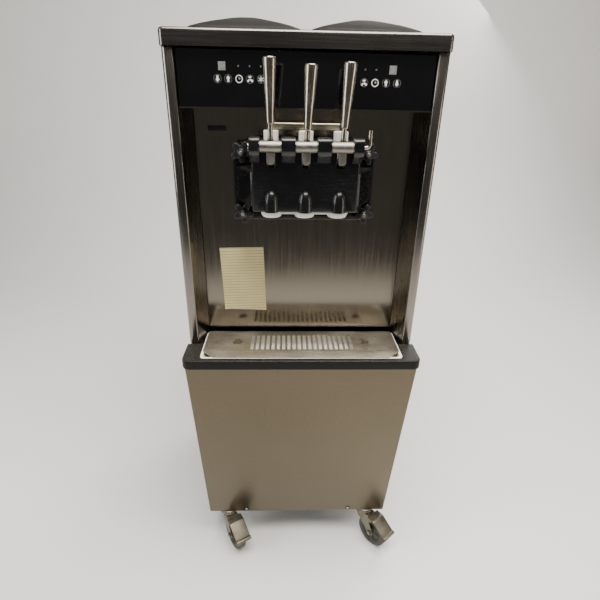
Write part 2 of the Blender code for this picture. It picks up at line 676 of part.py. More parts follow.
def dispensing_head():
    """Black block on a clamping flange, with three valve bores, lever lugs and nozzle bosses."""
    flange_outline = rounded_rectangle((-0.1510, 0.1510), (1.0430, 1.2080), 0.026, 3)
    head = prism(flange_outline, "Y", FLANGE_FRONT, SPLASH - GAP)
    block = rounded_rectangle((-0.1065, 0.1065), (HEAD_BOTTOM, HEAD_TOP), 0.008, 1)
    parts = [prism(block, "Y", HEAD_FRONT, FLANGE_FRONT + 0.010)]
    cheek = [(-0.1450, FLANGE_FRONT + 0.005), (-0.1420, FLANGE_FRONT - 0.012), (-0.1080, HEAD_FRONT + 0.004),
             (0.1080, HEAD_FRONT + 0.004), (0.1420, FLANGE_FRONT - 0.012), (0.1450, FLANGE_FRONT + 0.005)]
    parts.append(prism(cheek, "Z", KNOB_LEVELS[0] + 0.0270, KNOB_LEVELS[1] - 0.0270))
    lug = [(PIVOT_Y + 0.020, PIVOT_Z - 0.030), (HEAD_FRONT, PIVOT_Z - 0.032), (PIVOT_Y - 0.012, PIVOT_Z - 0.012),
           (PIVOT_Y - 0.012, PIVOT_Z + 0.010), (PIVOT_Y - 0.006, PIVOT_Z + 0.0165), (PIVOT_Y + 0.020, PIVOT_Z + 0.0165)]
    edge = HUB_HALF + 0.0005
    lugs = [across(side, edge, LEVER_PITCH - edge) for _, side in SIDES]
    lugs += [across(side, LEVER_PITCH + edge, 0.1080) for _, side in SIDES]
    parts += [prism(lug, "X", *limits) for limits in lugs]
    cuts = [rod(0.0044, "X", (PIVOT_Y, PIVOT_Z), -0.15, 0.15, 8)]
    cuts += [rod(0.0065, "Y", (side * KNOB_X, z), -0.30, -0.20, 8) for _, side in SIDES for z in KNOB_LEVELS]
    for _, place in LEVER_PLACES:
        x = place * LEVER_PITCH
        boss = [(0.0, HEAD_BOTTOM), (0.0135, HEAD_BOTTOM), (0.0135, 1.1020), (0.0100, 1.1130), (0.0, 1.1190)]
        parts.append(turned(boss, "Z", (x, HEAD_FRONT + 0.0055), 12))
        cuts.append(rod(0.0146, "Z", (x, VALVE_Y), 1.05, 1.25))
        cuts.append(box((x - 0.0085, x + 0.0085), (-0.38, VALVE_Y), (PIVOT_Z - 0.0400, 1.25)))
    ports = [rod(0.0100, "Y", (side * LEVER_PITCH, 1.1060), VALVE_Y, -0.20, 10) for _, side in SIDES]
    ports.append(rod(0.0080, "X", (VALVE_Y, 1.1060), -LEVER_PITCH, LEVER_PITCH, 8))
    shape = cut(joined(head, *parts), *cuts, *ports)
    piece("dispensing_head", "black_acetal", shape, (0.0, SPLASH, BARREL_Z))


def nozzle_plate():
    """White strip with a star-shaped outlet under each valve."""
    top = HEAD_BOTTOM - GAP
    bar = box((-0.0900, 0.0900), (-0.3320, -0.2980), (top - 0.0050, top))
    lobes, outlets = [], []
    for _, place in LEVER_PLACES:
        centre = (place * LEVER_PITCH, VALVE_Y)
        lobes.append(turned([(0.0, top - 0.0135), (0.0185, top - 0.0135), (0.0215, top - 0.0100),
                             (0.0215, top - 0.0010), (0.0, top - 0.0010)], "Z", centre, 16))
        star = []
        for i in range(12):
            radius = 0.0115 if i % 2 == 0 else 0.0065
            angle = tau * i / 12
            star.append((centre[0] + radius * cos(angle), centre[1] + radius * sin(angle)))
        outlets.append(prism(star, "Z", 1.05, 1.09))
    piece("nozzle_plate", "white_plastic", cut(joined(bar, *lobes), *outlets))


LEVER_LEANS = {"left": (0.0, 0.006), "centre": (2.3, -0.004), "right": (2.6, 0.0)}
TOE_HALF = 0.0050


def levers():
    """Draw levers: cross hub on the pivot, thin rod, tapered hollow-topped grip, arm and toe.

    Each grip is screwed in to its own height and leans a little to one side.
    """
    for name, place in LEVER_PLACES:
        lean, lift = LEVER_LEANS[name]
        x = place * LEVER_PITCH
        pivot = Vector((x, PIVOT_Y, PIVOT_Z))
        foot, crown = 0.0210 + lift * 0.4, 0.1415 + lift
        profile = [(0.0, 0.006), (0.0042, 0.006), (0.0042, foot), (0.0073, foot), (0.0105, 0.070),
                   (0.0145, crown - 0.004), (0.0138, crown), (0.0110, crown), (0.0, crown - 0.004)]
        grip = turned(profile, "Z", (0.0, 0.0), 14)
        moved(grip, Matrix.Translation(pivot) @ Matrix.Rotation(radians(lean), 4, "Y"))
        hub = rod(0.0108, "X", (PIVOT_Y, PIVOT_Z), x - HUB_HALF, x + HUB_HALF, 14)
        arm = box((x - 0.0072, x + 0.0072), (PIVOT_Y - 0.0060, PIVOT_Y + 0.0058), (PIVOT_Z - 0.0300, PIVOT_Z - 0.0020))
        toe = box((x - TOE_HALF, x + TOE_HALF), (PIVOT_Y + 0.0010, PIVOT_Y + 0.0340),
                  (PIVOT_Z - 0.0335, PIVOT_Z - 0.0260))
        hole = rod(0.0044, "X", (PIVOT_Y, PIVOT_Z), x - 0.03, x + 0.03, 8)
        piece(name + "_lever", "polished_steel", cut(joined(hub, grip, arm, toe), hole), pivot)


def draw_valves():
    """White plungers in the head's bores, each with a window for its lever's toe."""
    for name, place in LEVER_PLACES:
        x = place * LEVER_PITCH
        bottom, top = 1.0880, 1.2335
        profile = [(0.0, bottom), (0.0128, bottom), (0.0142, bottom + 0.003), (0.0142, 1.1220), (0.0128, 1.1230),
                   (0.0128, 1.1260), (0.0142, 1.1270), (0.0142, top), (0.0, top)]
        plunger = turned(profile, "Z", (x, VALVE_Y))
        window = box((x - TOE_HALF - 0.0010, x + TOE_HALF + 0.0010), (VALVE_Y - 0.02, PIVOT_Y + 0.0500),
                     (PIVOT_Z - 0.0540, PIVOT_Z - 0.0235))
        piece(name + "_draw_valve", "white_plastic", cut(plunger, window), (x, VALVE_Y, bottom))


def pivot_pin():
    """Long pin through the lugs and hubs, bent up at its right end as a handle."""
    bend = 0.006
    path = [(-0.1110, PIVOT_Y, PIVOT_Z), (0.1130, PIVOT_Y, PIVOT_Z)]
    for i in range(1, 4):
        angle = i / 3 * pi / 2
        path.append((0.1130 + bend * sin(angle), PIVOT_Y, PIVOT_Z + bend - bend * cos(angle)))
    path.append((0.1130 + bend, PIVOT_Y, PIVOT_Z + 0.0310))
    piece("pivot_pin", "polished_steel", swept(path, 0.0038), (0.0, PIVOT_Y, PIVOT_Z))


def star_knobs():
    """Five-lobed clamping nuts on the four studs."""
    back = FLANGE_FRONT - GAP
    names = (("upper", KNOB_LEVELS[1]), ("lower", KNOB_LEVELS[0]))
    for level, z in names:
        for name, side in SIDES:
            x = side * KNOB_X
            outline = []
            for i in range(20):
                angle = tau * i / 20
                radius = 0.0185 + 0.0052 * cos(5 * angle)
                outline.append((x + radius * cos(angle), z + radius * sin(angle)))
            star = prism(outline, "Y", back - 0.0200, back - 0.0050)
            boss = turned([(0.0, back - 0.0330), (0.0075, back - 0.0330), (0.0100, back - 0.0290),
                           (0.0105, back), (0.0, back)], "Y", (x, z), 10)
            bore = rod(0.0056, "Y", (x, z), -0.2806, -0.20, 8)
            piece(level + "_" + name + "_knob", "black_acetal", cut(joined(star, boss), bore), (x, back, z))


def stop_bar():
    """Stainless angle on the splash panel, behind the levers."""
    outline = [(SPLASH - GAP, 1.2390), (SPLASH - GAP, 1.2470), (-0.2960, 1.2470), (-0.2960, 1.2345),
               (-0.2940, 1.2345), (-0.2940, 1.2450), (SPLASH - 0.0020, 1.2450), (SPLASH - 0.0020, 1.2390)]
    piece("stop_bar", "stainless", prism(outline, "X", -0.0665, 0.0665))


# ---------------------------------------------------------------- casters
CASTERS = (             # name, place, heading from -Y towards +X in degrees, braked
    ("front_left", (-FRONT_CASTER[0], FRONT_CASTER[1]), 32.0, True),
    ("front_right", (FRONT_CASTER[0], FRONT_CASTER[1]), 40.0, True),
    ("rear_left", (-REAR_CASTER[0], REAR_CASTER[1]), 241.3, False),
    ("rear_right", (REAR_CASTER[0], REAR_CASTER[1]), 160.0, False),
)
AXLE_RADIUS = 0.005


def caster_matrix(place, heading):
    """From the caster's own frame (trail along -Y) to the world."""
    return Matrix.Translation((*place, 0.0)) @ Matrix.Rotation(radians(heading), 4, "Z")


def caster_fork():
    """Swivel head, crown and two legs around the wheel, with the axle bolt between them."""
    head = turned([(0.0, 0.1025), (0.0250, 0.1080), (0.0250, 0.1200), (0.0200, CABINET_BOTTOM),
                   (0.0, CABINET_BOTTOM)], "Z", (0.0, 0.0), 14)
    crown = box((-0.0195, 0.0195), (-0.0300, 0.0200), (0.1030, 0.1070))
    centre = (-CASTER_TRAIL, WHEEL_RADIUS)
    outline = [(0.0200, 0.1068), (-0.0300, 0.1068), (centre[0] - 0.0120, WHEEL_RADIUS + 0.004),
               (centre[0] - 0.0085, WHEEL_RADIUS - 0.0085), (centre[0] + 0.0085, WHEEL_RADIUS - 0.0085),
               (0.0130, 0.0930)]
    legs = [prism(outline, "X", *across(side, 0.0162, 0.0190)) for _, side in SIDES]
    axle = rod(AXLE_RADIUS, "X", centre, -0.0230, 0.0230, 8)
    return joined(crown, head, *legs, axle)


def caster_wheel():
    """Wheel with a hub, a thin web and a rounded tread that stands on one flat facet."""
    sides = 20
    outer = WHEEL_RADIUS / cos(pi / sides)
    half = [(AXLE_RADIUS + 0.0007, 0.0150), (0.0120, 0.0150), (0.0340, 0.0090), (0.0430, 0.0130), (outer, 0.0100)]
    profile = [(radius, -x) for radius, x in half] + list(reversed(half))
    return turned(profile, "X", (-CASTER_TRAIL, WHEEL_RADIUS), sides, ring=True)


PEDAL_PIVOT = (-0.0400, 0.1115)


def brake_pedal():
    """Bent tread plate over the wheel, with a rolled lip."""
    plate = [(-0.0340, 0.1085), (-0.0340, 0.1120), (-0.0560, 0.1120), (-0.0980, 0.0812), (-0.1030, 0.0830),
             (-0.1060, 0.0790), (-0.1050, 0.0740), (-0.1000, 0.0730), (-0.0555, 0.1090)]
    return prism(plate, "X", -0.0230, 0.0230)


def casters():
    for name, place, heading, braked in CASTERS:
        matrix = caster_matrix(place, heading)
        centre = matrix @ Vector((0.0, -CASTER_TRAIL, WHEEL_RADIUS))
        piece(name + "_caster_fork", "zinc_steel", moved(caster_fork(), matrix), (*place, CABINET_BOTTOM))
        piece(name + "_wheel", "tyre_rubber", moved(caster_wheel(), matrix), centre)
        if braked:
            pivot = matrix @ Vector((0.0, *PEDAL_PIVOT))
            piece(name + "_brake_pedal", "zinc_steel", moved(brake_pedal(), matrix), pivot)


# ---------------------------------------------------------------- assembly
for leftover in list(bpy.data.objects):
    bpy.data.objects.remove(leftover)

main_frame()
side_panels()
rear_panel()
lower_front_panel()
pillars()
splash_panel()
top_trim()
top_deck()
controls()
tray_surround()
drip_tray()
drip_tray_cover()
hoppers()
hopper_lids()
air_tubes()
freezing_barrels()
beaters()
gearboxes()
drive()
refrigeration()
cable_gland()
dispensing_head()
nozzle_plate()
levers()
draw_valves()
pivot_pin()
star_knobs()
stop_bar()
casters()
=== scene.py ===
"""Looks of a floor-standing soft-serve ice cream machine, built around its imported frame.

Metres, +Z up; the draw levers face -Y. Each section makes one piece, or one group of like pieces.
"""
import json
from math import atan2, cos, pi, radians, sin, tau

import bmesh
import bpy
import numpy as np
from mathutils import Matrix, Vector


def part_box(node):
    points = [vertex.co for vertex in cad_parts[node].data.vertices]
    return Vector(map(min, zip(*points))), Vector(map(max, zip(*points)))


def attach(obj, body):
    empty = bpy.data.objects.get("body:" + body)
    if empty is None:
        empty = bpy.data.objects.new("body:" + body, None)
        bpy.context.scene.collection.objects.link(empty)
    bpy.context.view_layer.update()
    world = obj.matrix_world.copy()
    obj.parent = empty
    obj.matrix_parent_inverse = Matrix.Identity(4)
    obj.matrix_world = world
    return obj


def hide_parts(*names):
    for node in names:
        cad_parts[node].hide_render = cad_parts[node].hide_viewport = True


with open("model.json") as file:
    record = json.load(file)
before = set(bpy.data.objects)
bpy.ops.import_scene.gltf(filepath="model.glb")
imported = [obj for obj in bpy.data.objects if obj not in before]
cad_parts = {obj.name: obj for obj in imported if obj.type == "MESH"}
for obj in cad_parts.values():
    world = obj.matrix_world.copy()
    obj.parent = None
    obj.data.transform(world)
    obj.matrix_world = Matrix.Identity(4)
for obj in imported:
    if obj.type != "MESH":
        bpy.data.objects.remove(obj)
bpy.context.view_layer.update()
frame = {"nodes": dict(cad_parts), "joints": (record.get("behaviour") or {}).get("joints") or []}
joints = {joint["name"]: joint for joint in frame["joints"]}

# ---------------------------------------------------------------- camera, floor and light
# A seamless pale sweep of matt painted board, lit by a big softbox overhead, a weak one at each
# side and one behind. Around it the studio is dim, as the steel shows. A wide lens stands close,
# at chest height, and looks down on the machine.
LENS_MM = 26.1
EYE = (-0.0381, -1.2153, 1.2847)
HEADING, DIP, ROLL = -2.0637, 24.5078, 1.0929
camera = bpy.data.objects.new("camera", bpy.data.cameras.new("camera"))
camera.data.lens = LENS_MM
camera.matrix_world = (
    Matrix.Translation(EYE)
    @ Matrix.Rotation(radians(HEADING), 4, "Z")
    @ Matrix.Rotation(radians(90 - DIP), 4, "X")
    @ Matrix.Rotation(radians(ROLL), 4, "Z")
)
bpy.context.scene.collection.objects.link(camera)
bpy.context.scene.camera = camera


def linear(colour):
    """sRGB hex to linear RGBA: the sRGB curve undone on each channel."""
    channels = np.array([int(colour[i:i + 2], 16) for i in (1, 3, 5)]) / 255
    undone = np.where(channels > 0.04045, ((channels + 0.055) / 1.055) ** 2.4, channels / 12.92)
    return (*undone.tolist(), 1.0)


def add(tree, kind, inputs=None, **settings):
    """One node with its settings; each input is a value, or the socket that feeds it."""
    node = tree.nodes.new("ShaderNode" + kind)
    for name, value in settings.items():
        setattr(node, name, value)
    for name, value in (inputs or {}).items():
        if isinstance(value, bpy.types.NodeSocket):
            tree.links.new(value, node.inputs[name])
        else:
            node.inputs[name].default_value = value
    return node


NOISE_SUM = {"From Min": 0.72, "From Max": 1.28}  # the sum of two noises mostly lies between these
FACING_UP = {"From Min": 0.1, "From Max": 0.9}  # dust begins and lies full at these upward shares
SPECKS = {"From Min": 0.42, "From Max": 0.72}  # the part of the speckled noise that dust takes
DUST_ROUGHNESS = 0.9


def finish(name, tones, roughness, metallic=0.0, grain_mm=(3, 3, 3), cloud_mm=90, relief_mm=0.0,
           dust=None, **constants):
    """A worked surface on Object coordinates.

    Two noises carry it: grain, stretched to the tool marks' size on each axis, and cloud, the slow
    unevenness of soil and handling. The colour runs between two tones by their mean, the roughness
    between two values by the same, and the grain lifts the surface by the relief. Dust is a third,
    speckled noise that lies on faces turned up: (colour, cover, speck size in mm).
    """
    material = bpy.data.materials.new(name)
    material.use_nodes = True
    tree = material.node_tree
    shader = tree.nodes["Principled BSDF"]
    place = add(tree, "TexCoord").outputs["Object"]
    stretched = add(tree, "Mapping", {"Vector": place, "Scale": [1000 / size for size in grain_mm]})
    grain = add(tree, "TexNoise",
                {"Vector": stretched.outputs[0], "Scale": 1.0, "Detail": 2.0}).outputs["Fac"]
    cloud = add(tree, "TexNoise",
                {"Vector": place, "Scale": 1000 / cloud_mm, "Detail": 4.0}).outputs["Fac"]
    mean = add(tree, "Math", {0: grain, 1: cloud}, operation="ADD").outputs[0]
    share = add(tree, "MapRange", {"Value": mean, **NOISE_SUM}).outputs[0]
    colour = add(tree, "Mix", {0: share, 6: linear(tones[0]), 7: linear(tones[1])},
                 data_type="RGBA").outputs[2]
    rough = add(tree, "MapRange",
                {"Value": share, "To Min": roughness[0], "To Max": roughness[1]}).outputs[0]
    if dust:
        speck = add(tree, "TexNoise",
                    {"Vector": place, "Scale": 1000 / dust[2], "Detail": 5.0, "Roughness": 0.7})
        facing = add(tree, "SeparateXYZ",
                     {0: add(tree, "NewGeometry").outputs["Normal"]}).outputs["Z"]
        lying = add(tree, "MapRange", {"Value": facing, **FACING_UP, "To Max": dust[1]}).outputs[0]
        speckled = add(tree, "MapRange", {"Value": speck.outputs["Fac"], **SPECKS}).outputs[0]
        cover = add(tree, "Math", {0: lying, 1: speckled}, operation="MULTIPLY").outputs[0]
        colour = add(tree, "Mix", {0: cover, 6: colour, 7: linear(dust[0])},
                     data_type="RGBA").outputs[2]
        rough = add(tree, "Mix", {0: cover, 2: rough, 3: DUST_ROUGHNESS}).outputs[0]
    tree.links.new(colour, shader.inputs["Base Color"])
    tree.links.new(rough, shader.inputs["Roughness"])
    shader.inputs["Metallic"].default_value = metallic
    for socket, value in constants.items():
        shader.inputs[socket.replace("_", " ")].default_value = value
    if relief_mm:
        bump = add(tree, "Bump", {"Height": grain, "Distance": relief_mm / 1000, "Strength": 1.0})
        tree.links.new(bump.outputs[0], shader.inputs["Normal"])
    return material


WELD = 2e-7


def skin(rings, caps=True, loop=False):
    """A closed skin over rings of points: quads from each ring to the next, flat caps on the two
    end rings, or with loop the last ring joined to the first. Poles merge, and faces turn out."""
    rings = np.asarray(rings, float)
    index = np.arange(rings.shape[0] * rings.shape[1]).reshape(rings.shape[:2])
    low, high = (index, np.roll(index, -1, 0)) if loop else (index[:-1], index[1:])
    faces = np.stack([low, np.roll(low, -1, 1), np.roll(high, -1, 1), high], -1).reshape(-1,
                                                                                         4).tolist()
    if caps and not loop:
        faces += [index[0, ::-1].tolist(), index[-1].tolist()]
    mesh = bpy.data.meshes.new("skin")
    mesh.from_pydata(rings.reshape(-1, 3).tolist(), [], faces)
    work = bmesh.new()
    work.from_mesh(mesh)
    bmesh.ops.remove_doubles(work, verts=work.verts, dist=WELD)
    bmesh.ops.dissolve_degenerate(work, edges=work.edges, dist=WELD / 2)
    bmesh.ops.recalc_face_normals(work, faces=work.faces)
    work.to_mesh(mesh)
    work.free()
    return mesh


studio_board = finish("matt_painted_board", ("#f3f2ef", "#f6f5f3"), (0.6, 0.7), cloud_mm=900)
SWEEP_HALF, SWEEP_FRONT, SWEEP_TOP = 7.0, -2.5, 7.0
COVE_START, COVE = 1.6, 1.2
bend = np.linspace(0, pi / 2, 16)
cove_line = zip(COVE_START + COVE * np.sin(bend), COVE - COVE * np.cos(bend))
sweep_line = np.array([(SWEEP_FRONT, 0.0), *cove_line, (COVE_START + COVE, SWEEP_TOP)])
sweep_grid = np.array([[(x, y, z) for x in (-SWEEP_HALF, SWEEP_HALF)] for y, z in sweep_line])
sweep_mesh = bpy.data.meshes.new("sweep")
steps = np.arange(len(sweep_line) - 1)[:, None] * 2
sweep_mesh.from_pydata(sweep_grid.reshape(-1, 3).tolist(), [], (steps + [0, 1, 3, 2]).tolist())
sweep_mesh.shade_smooth()
sweep_mesh.materials.append(studio_board)
sweep = bpy.data.objects.new("sweep", sweep_mesh)
bpy.context.scene.collection.objects.link(sweep)

for name, place, target, size, power, warmth in (
    ("overhead_softbox", (0.3, -0.9, 3.1), (0.1, -0.1, 0.6), (2.2, 1.6), 175, "#fffaf3"),
    ("left_softbox", (-2.4, -1.1, 1.7), (0.0, 0.0, 0.8), (0.8, 1.8), 34, "#ffffff"),
    ("right_softbox", (2.3, -1.2, 1.0), (0.0, -0.2, 0.9), (0.5, 1.6), 15, "#fff6ea"),
    ("rear_softbox", (1.6, 2.2, 2.6), (0.0, 0.2, 0.9), (1.6, 1.6), 62, "#fffcf8"),
):
    softbox = bpy.data.lights.new(name, "AREA")
    softbox.shape = "RECTANGLE"
    softbox.size, softbox.size_y = size
    softbox.energy = power
    softbox.color = linear(warmth)[:3]
    lamp = bpy.data.objects.new(name, softbox)
    lamp.location = place
    lamp.rotation_euler = (Vector(target) - Vector(place)).to_track_quat("-Z", "Y").to_euler()
    bpy.context.scene.collection.objects.link(lamp)

AMBIENT = 0.42
studio = bpy.data.worlds.new("studio")
studio.use_nodes = True
studio.node_tree.nodes["Background"].inputs["Color"].default_value = linear("#8c8a87")
studio.node_tree.nodes["Background"].inputs["Strength"].default_value = AMBIENT
bpy.context.scene.world = studio

# ---------------------------------------------------------------- casters
# Bright zinc-plated swivel casters: pressed fork, ball race, and a bolted axle through a grey
# rubber tyre on a moulded nylon core. The front pair has a bent tread pedal that locks the wheel.
zinc = finish("zinc_plated_steel", ("#625d50", "#857f70"), (0.32, 0.50), 1.0, (2, 2, 2), 25, 0.02,
              ("#6d665a", 0.5, 2.5))
tyre_rubber = finish("grey_tyre_rubber", ("#3b3b34", "#55554c"), (0.7, 0.9), 0.0, (1, 1, 1), 14,
                     0.05)
nylon_core = finish("black_nylon_core", ("#26261f", "#3b3a31"), (0.45, 0.6), 0.0, (2, 2, 2), 20,
                    0.02)

AXES = {"X": lambda u, v, w: (w, u, v), "Y": lambda u, v, w: (u, w, v), "Z": lambda u, v,
        w: (u, v, w)}


def laid(axis, plane, along):
    """Points (u, v) of a plane across an axis, at their places along it, as (x, y, z)."""
    u, v = plane[..., 0], plane[..., 1]
    return np.stack(AXES[axis](u, v, np.broadcast_to(along, u.shape)), -1)


def eased(points, radius, steps=4, closed=True):
    """A line of points with each corner replaced by a parabola that leaves the sides a radius away
    from it, or half-way along a side that is short. An open line keeps its two ends."""
    points = np.asarray(points, float)
    radius = np.broadcast_to(np.asarray(radius, float), len(points))[:, None]
    t = np.linspace(0, 1, steps + 1)[None, :, None]

    def reach(side):
        """From a corner along a side: the radius, or just under half of a shorter side."""
        length = np.linalg.norm(side, axis=1, keepdims=True)
        return side * np.minimum(radius / np.maximum(length, 1e-9), 0.499)

    start = points + reach(np.roll(points, 1, 0) - points)
    end = points + reach(np.roll(points, -1, 0) - points)
    curve = (1 - t) ** 2 * start[:, None] + 2 * t * (1 - t) * points[:, None] + t ** 2 * end[:,
                                                                                             None]
    if closed:
        return curve.reshape(-1, points.shape[1])
    return np.concatenate([points[:1], curve[1:-1].reshape(-1, points.shape[1]), points[-1:]])


def turned(profile, axis, centre, sides=48, loop=False):
    """A profile of (radius, place along) carried round an axis through a centre."""
    profile = np.asarray(profile, float)
    angles = tau * np.arange(sides) / sides
    round_ = np.stack([np.cos(angles), np.sin(angles)], -1)
    plane = np.asarray(centre) + profile[:, :1, None] * round_[None]
    return skin(laid(axis, plane, profile[:, 1:2]), caps=not loop, loop=loop)


MITRE_LIMIT = 0.2


def grown(outline, distance):
    """A closed outline moved outwards: each point goes along the mean of its two sides' normals,
    lengthened so that both sides move by the distance, up to the mitre limit."""
    side = np.roll(outline, -1, 0) - outline
    side /= np.maximum(np.linalg.norm(side, axis=1, keepdims=True), 1e-12)
    normal = np.stack([side[:, 1], -side[:, 0]], 1)
    both = normal + np.roll(normal, 1, 0)
    x, y = outline.T
    area = (x * np.roll(y, -1) - np.roll(x, -1) * y).sum()
    reach = np.maximum((both * normal).sum(1, keepdims=True), MITRE_LIMIT)
    return outline + distance * np.sign(area) * both / reach


def extruded(outline, axis, start, end, edge=0.0, steps=3):
    """An outline carried straight along an axis, its two end edges rounded by a quarter circle."""
    outline = np.asarray(outline, float)
    outline = outline[np.linalg.norm(np.roll(outline, -1, 0) - outline, axis=1) > 1e-6]
    if not edge:
        return skin([laid(axis, outline, start), laid(axis, outline, end)])
    turn = np.linspace(0, pi / 2, steps + 1)
    inset, lift = edge * (np.sin(turn) - 1), edge * (1 - np.cos(turn))
    rings = [laid(axis, grown(outline, a), start + b) for a, b in zip(inset, lift)]
    rings += [laid(axis, grown(outline, a), end - b) for a, b in zip(inset[::-1], lift[::-1])]
    return skin(rings)


EASING = 1.7


def block(low, high, edge=0.001, corner=None):
    """A box between two corners, upright edges rounded by corner, top and bottom ones by edge. An
    eased corner begins farther out than an arc of its radius does, by the easing."""
    radius = (corner or edge) * EASING
    plan = eased([(low[0], low[1]), (high[0], low[1]), (high[0], high[1]), (low[0], high[1])],
                 radius)
    return extruded(plan, "Z", low[2], high[2], edge)


def sheet(path, thickness, radius, steps=4):
    """The outline of a folded sheet: an open line with eased folds, and the same line moved to
    its left."""
    line = eased(path, radius, steps, closed=False)
    along = np.gradient(line, axis=0)
    along /= np.linalg.norm(along, axis=1, keepdims=True)
    left = np.stack([-along[:, 1], along[:, 0]], 1)
    return np.concatenate([line, (line + thickness * left)[::-1]])


def moved(mesh, matrix):
    """A mesh with its points put through a matrix."""
    mesh.transform(matrix)
    return mesh


BEVEL_ANGLE = 40


def made(name, skins, material, body, slot, *nodes, crease=32, bevel=0.0):
    """One finished piece: its skins in one mesh, smooth between creases, riding on a body, and
    standing for the named CAD nodes."""
    work = bmesh.new()
    for mesh in skins:
        work.from_mesh(mesh)
        bpy.data.meshes.remove(mesh)
    mesh = bpy.data.meshes.new(name)
    work.to_mesh(mesh)
    work.free()
    mesh.shade_smooth()
    mesh.set_sharp_from_angle(angle=radians(crease))
    mesh.materials.append(material)
    piece = bpy.data.objects.new(name, mesh)
    bpy.context.scene.collection.objects.link(piece)
    if bevel:
        rounding = piece.modifiers.new("rounding", "BEVEL")
        rounding.width = bevel
        rounding.segments = 2
        rounding.limit_method = "ANGLE"
        rounding.angle_limit = radians(BEVEL_ANGLE)
    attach(piece, body)
    if nodes:
        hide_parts(*nodes)
    return piece


WHEEL_RADIUS, WHEEL_RIBS, FORK_HALF_WALL = 0.050, 5, 0.0014
for corner in ("front_left", "front_right", "rear_left", "rear_right"):
    swivel, roll = joints[corner + "_swivel"], joints[corner + "_roll"]
    heading = atan2(roll["axis"][1], roll["axis"][0])
    to_world = Matrix.Translation((*swivel["pos_m"][:2], 0.0)) @ Matrix.Rotation(heading, 4, "Z")
    trail = -(Vector(roll["pos_m"][:2]) - Vector(swivel["pos_m"][:2])).length
    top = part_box(corner + "_caster_fork")[1].z
    axle = (trail, WHEEL_RADIUS)

    race = eased([(0.0, 0.1030), (0.0180, 0.1030), (0.0215, 0.1075), (0.0245, 0.1085),
                  (0.0250, 0.1125), (0.0225, 0.1140), (0.0225, 0.1160), (0.0250, 0.1175),
                  (0.0250, 0.1215), (0.0215, 0.1230), (0.0200, top), (0.0, top)], 0.0012, 3,
                 closed=False)
    # The fork is one U of sheet: its width in the wheel's plane narrows down each leg.
    half, crown, foot = 0.0176, 0.1055, 0.0415
    bow = eased([(-half, foot), (-half, crown), (half, crown), (half, foot)], 0.006, 6,
                closed=False)
    bow = np.concatenate([np.linspace(bow[0], bow[1], 9)[:-1], bow[1:-1],
                          np.linspace(bow[-2], bow[-1], 9)[1:]])
    depth = np.clip((crown - bow[:, 1]) / (crown - foot), 0, 1)
    front = np.interp(depth, [0, 0.12, 0.8, 0.93, 1],
                      [-0.030, -0.0335, trail - 0.012, trail - 0.0105, trail - 0.005])
    back = np.interp(depth, [0, 0.25, 0.8, 0.93, 1],
                     [0.020, 0.010, trail + 0.013, trail + 0.0105, trail + 0.005])
    along = np.gradient(bow, axis=0)
    along /= np.linalg.norm(along, axis=1, keepdims=True)
    out = np.stack([-along[:, 1], along[:, 0]], 1) * FORK_HALF_WALL
    rings = [[(a[0], y, a[1]) for a, y in ((p + n, f), (p + n, b), (p - n, b), (p - n, f))]
             for p, n, f, b in zip(bow, out, front, back)]
    bolt_end = [(0.0, 0.0190), (0.0075, 0.0190), (0.0075, 0.0225), (0.0060, 0.0238), (0.0, 0.0238)]
    shank = [(0.0, -0.0195), (0.0049, -0.0195), (0.0049, 0.0195), (0.0, 0.0195)]
    bolt = [turned(bolt_end, "X", axle, 6),
            turned([(r, -x) for r, x in bolt_end[::-1]], "X", axle, 6),
            turned(shank, "X", axle, 24)]
    fork = [turned(race, "Z", (0.0, 0.0)), skin(rings), *bolt]
    made(corner + "_fork", [moved(part, to_world) for part in fork], zinc, corner + "_caster_fork",
         "zinc_steel", corner + "_caster_fork", bevel=0.0004)

    cheek = [(0.0057, 0.0148), (0.0110, 0.0148), (0.0125, 0.0100), (0.0190, 0.0072),
             (0.0290, 0.0072), (0.0335, 0.0115), (0.0372, 0.0122)]
    core = eased([(r, -x) for r, x in cheek] + [(0.0390, -0.0060), (0.0390, 0.0060)] + cheek[::-1],
                 0.0012, 3)
    ribs = []
    for i in range(WHEEL_RIBS):
        rib = block((-0.0095, -0.0014, 0.0115), (0.0095, 0.0014, 0.0340), 0.0004)
        spin = Matrix.Rotation(tau * i / WHEEL_RIBS + 0.3, 4, "X")
        ribs.append(moved(rib, Matrix.Translation((0.0, *axle)) @ spin))
    wheel = [turned(core, "X", axle, 64, loop=True), *ribs]
    made(corner + "_wheel_core", [moved(part, to_world) for part in wheel], nylon_core,
         corner + "_wheel", "tyre_rubber", corner + "_wheel")
    tread = eased([(0.0365, -0.0125), (0.0440, -0.0138), (0.0485, -0.0110), (WHEEL_RADIUS, -0.0060),
                   (WHEEL_RADIUS, 0.0060), (0.0485, 0.0110), (0.0440, 0.0138), (0.0365, 0.0125)],
                  0.0022, 4)
    made(corner + "_tyre", [moved(turned(tread, "X", axle, 72, loop=True), to_world)], tyre_rubber,
         corner + "_wheel", "tyre_rubber", corner + "_wheel")

    if corner.startswith("front"):
        tongue = sheet([(-0.0340, 0.1092), (-0.0560, 0.1092), (-0.0925, 0.0825), (-0.0962, 0.0792),
                        (-0.1005, 0.0812), (-0.1045, 0.0790), (-0.1050, 0.0745), (-0.1000, 0.0730)],
                       -0.0020, 0.0016, 3)
        hinge_ears = [block((side * 0.0215 - 0.0012, -0.0470, 0.0990),
                            (side * 0.0215 + 0.0012, -0.0345, 0.1105), 0.0005) for side in (-1, 1)]
        pedal = [extruded(tongue, "X", -0.0230, 0.0230, 0.0006, 2), *hinge_ears]
        made(corner + "_pedal", [moved(part, to_world) for part in pedal], zinc,
             corner + "_brake_pedal", "zinc_steel", corner + "_brake_pedal", crease=45)

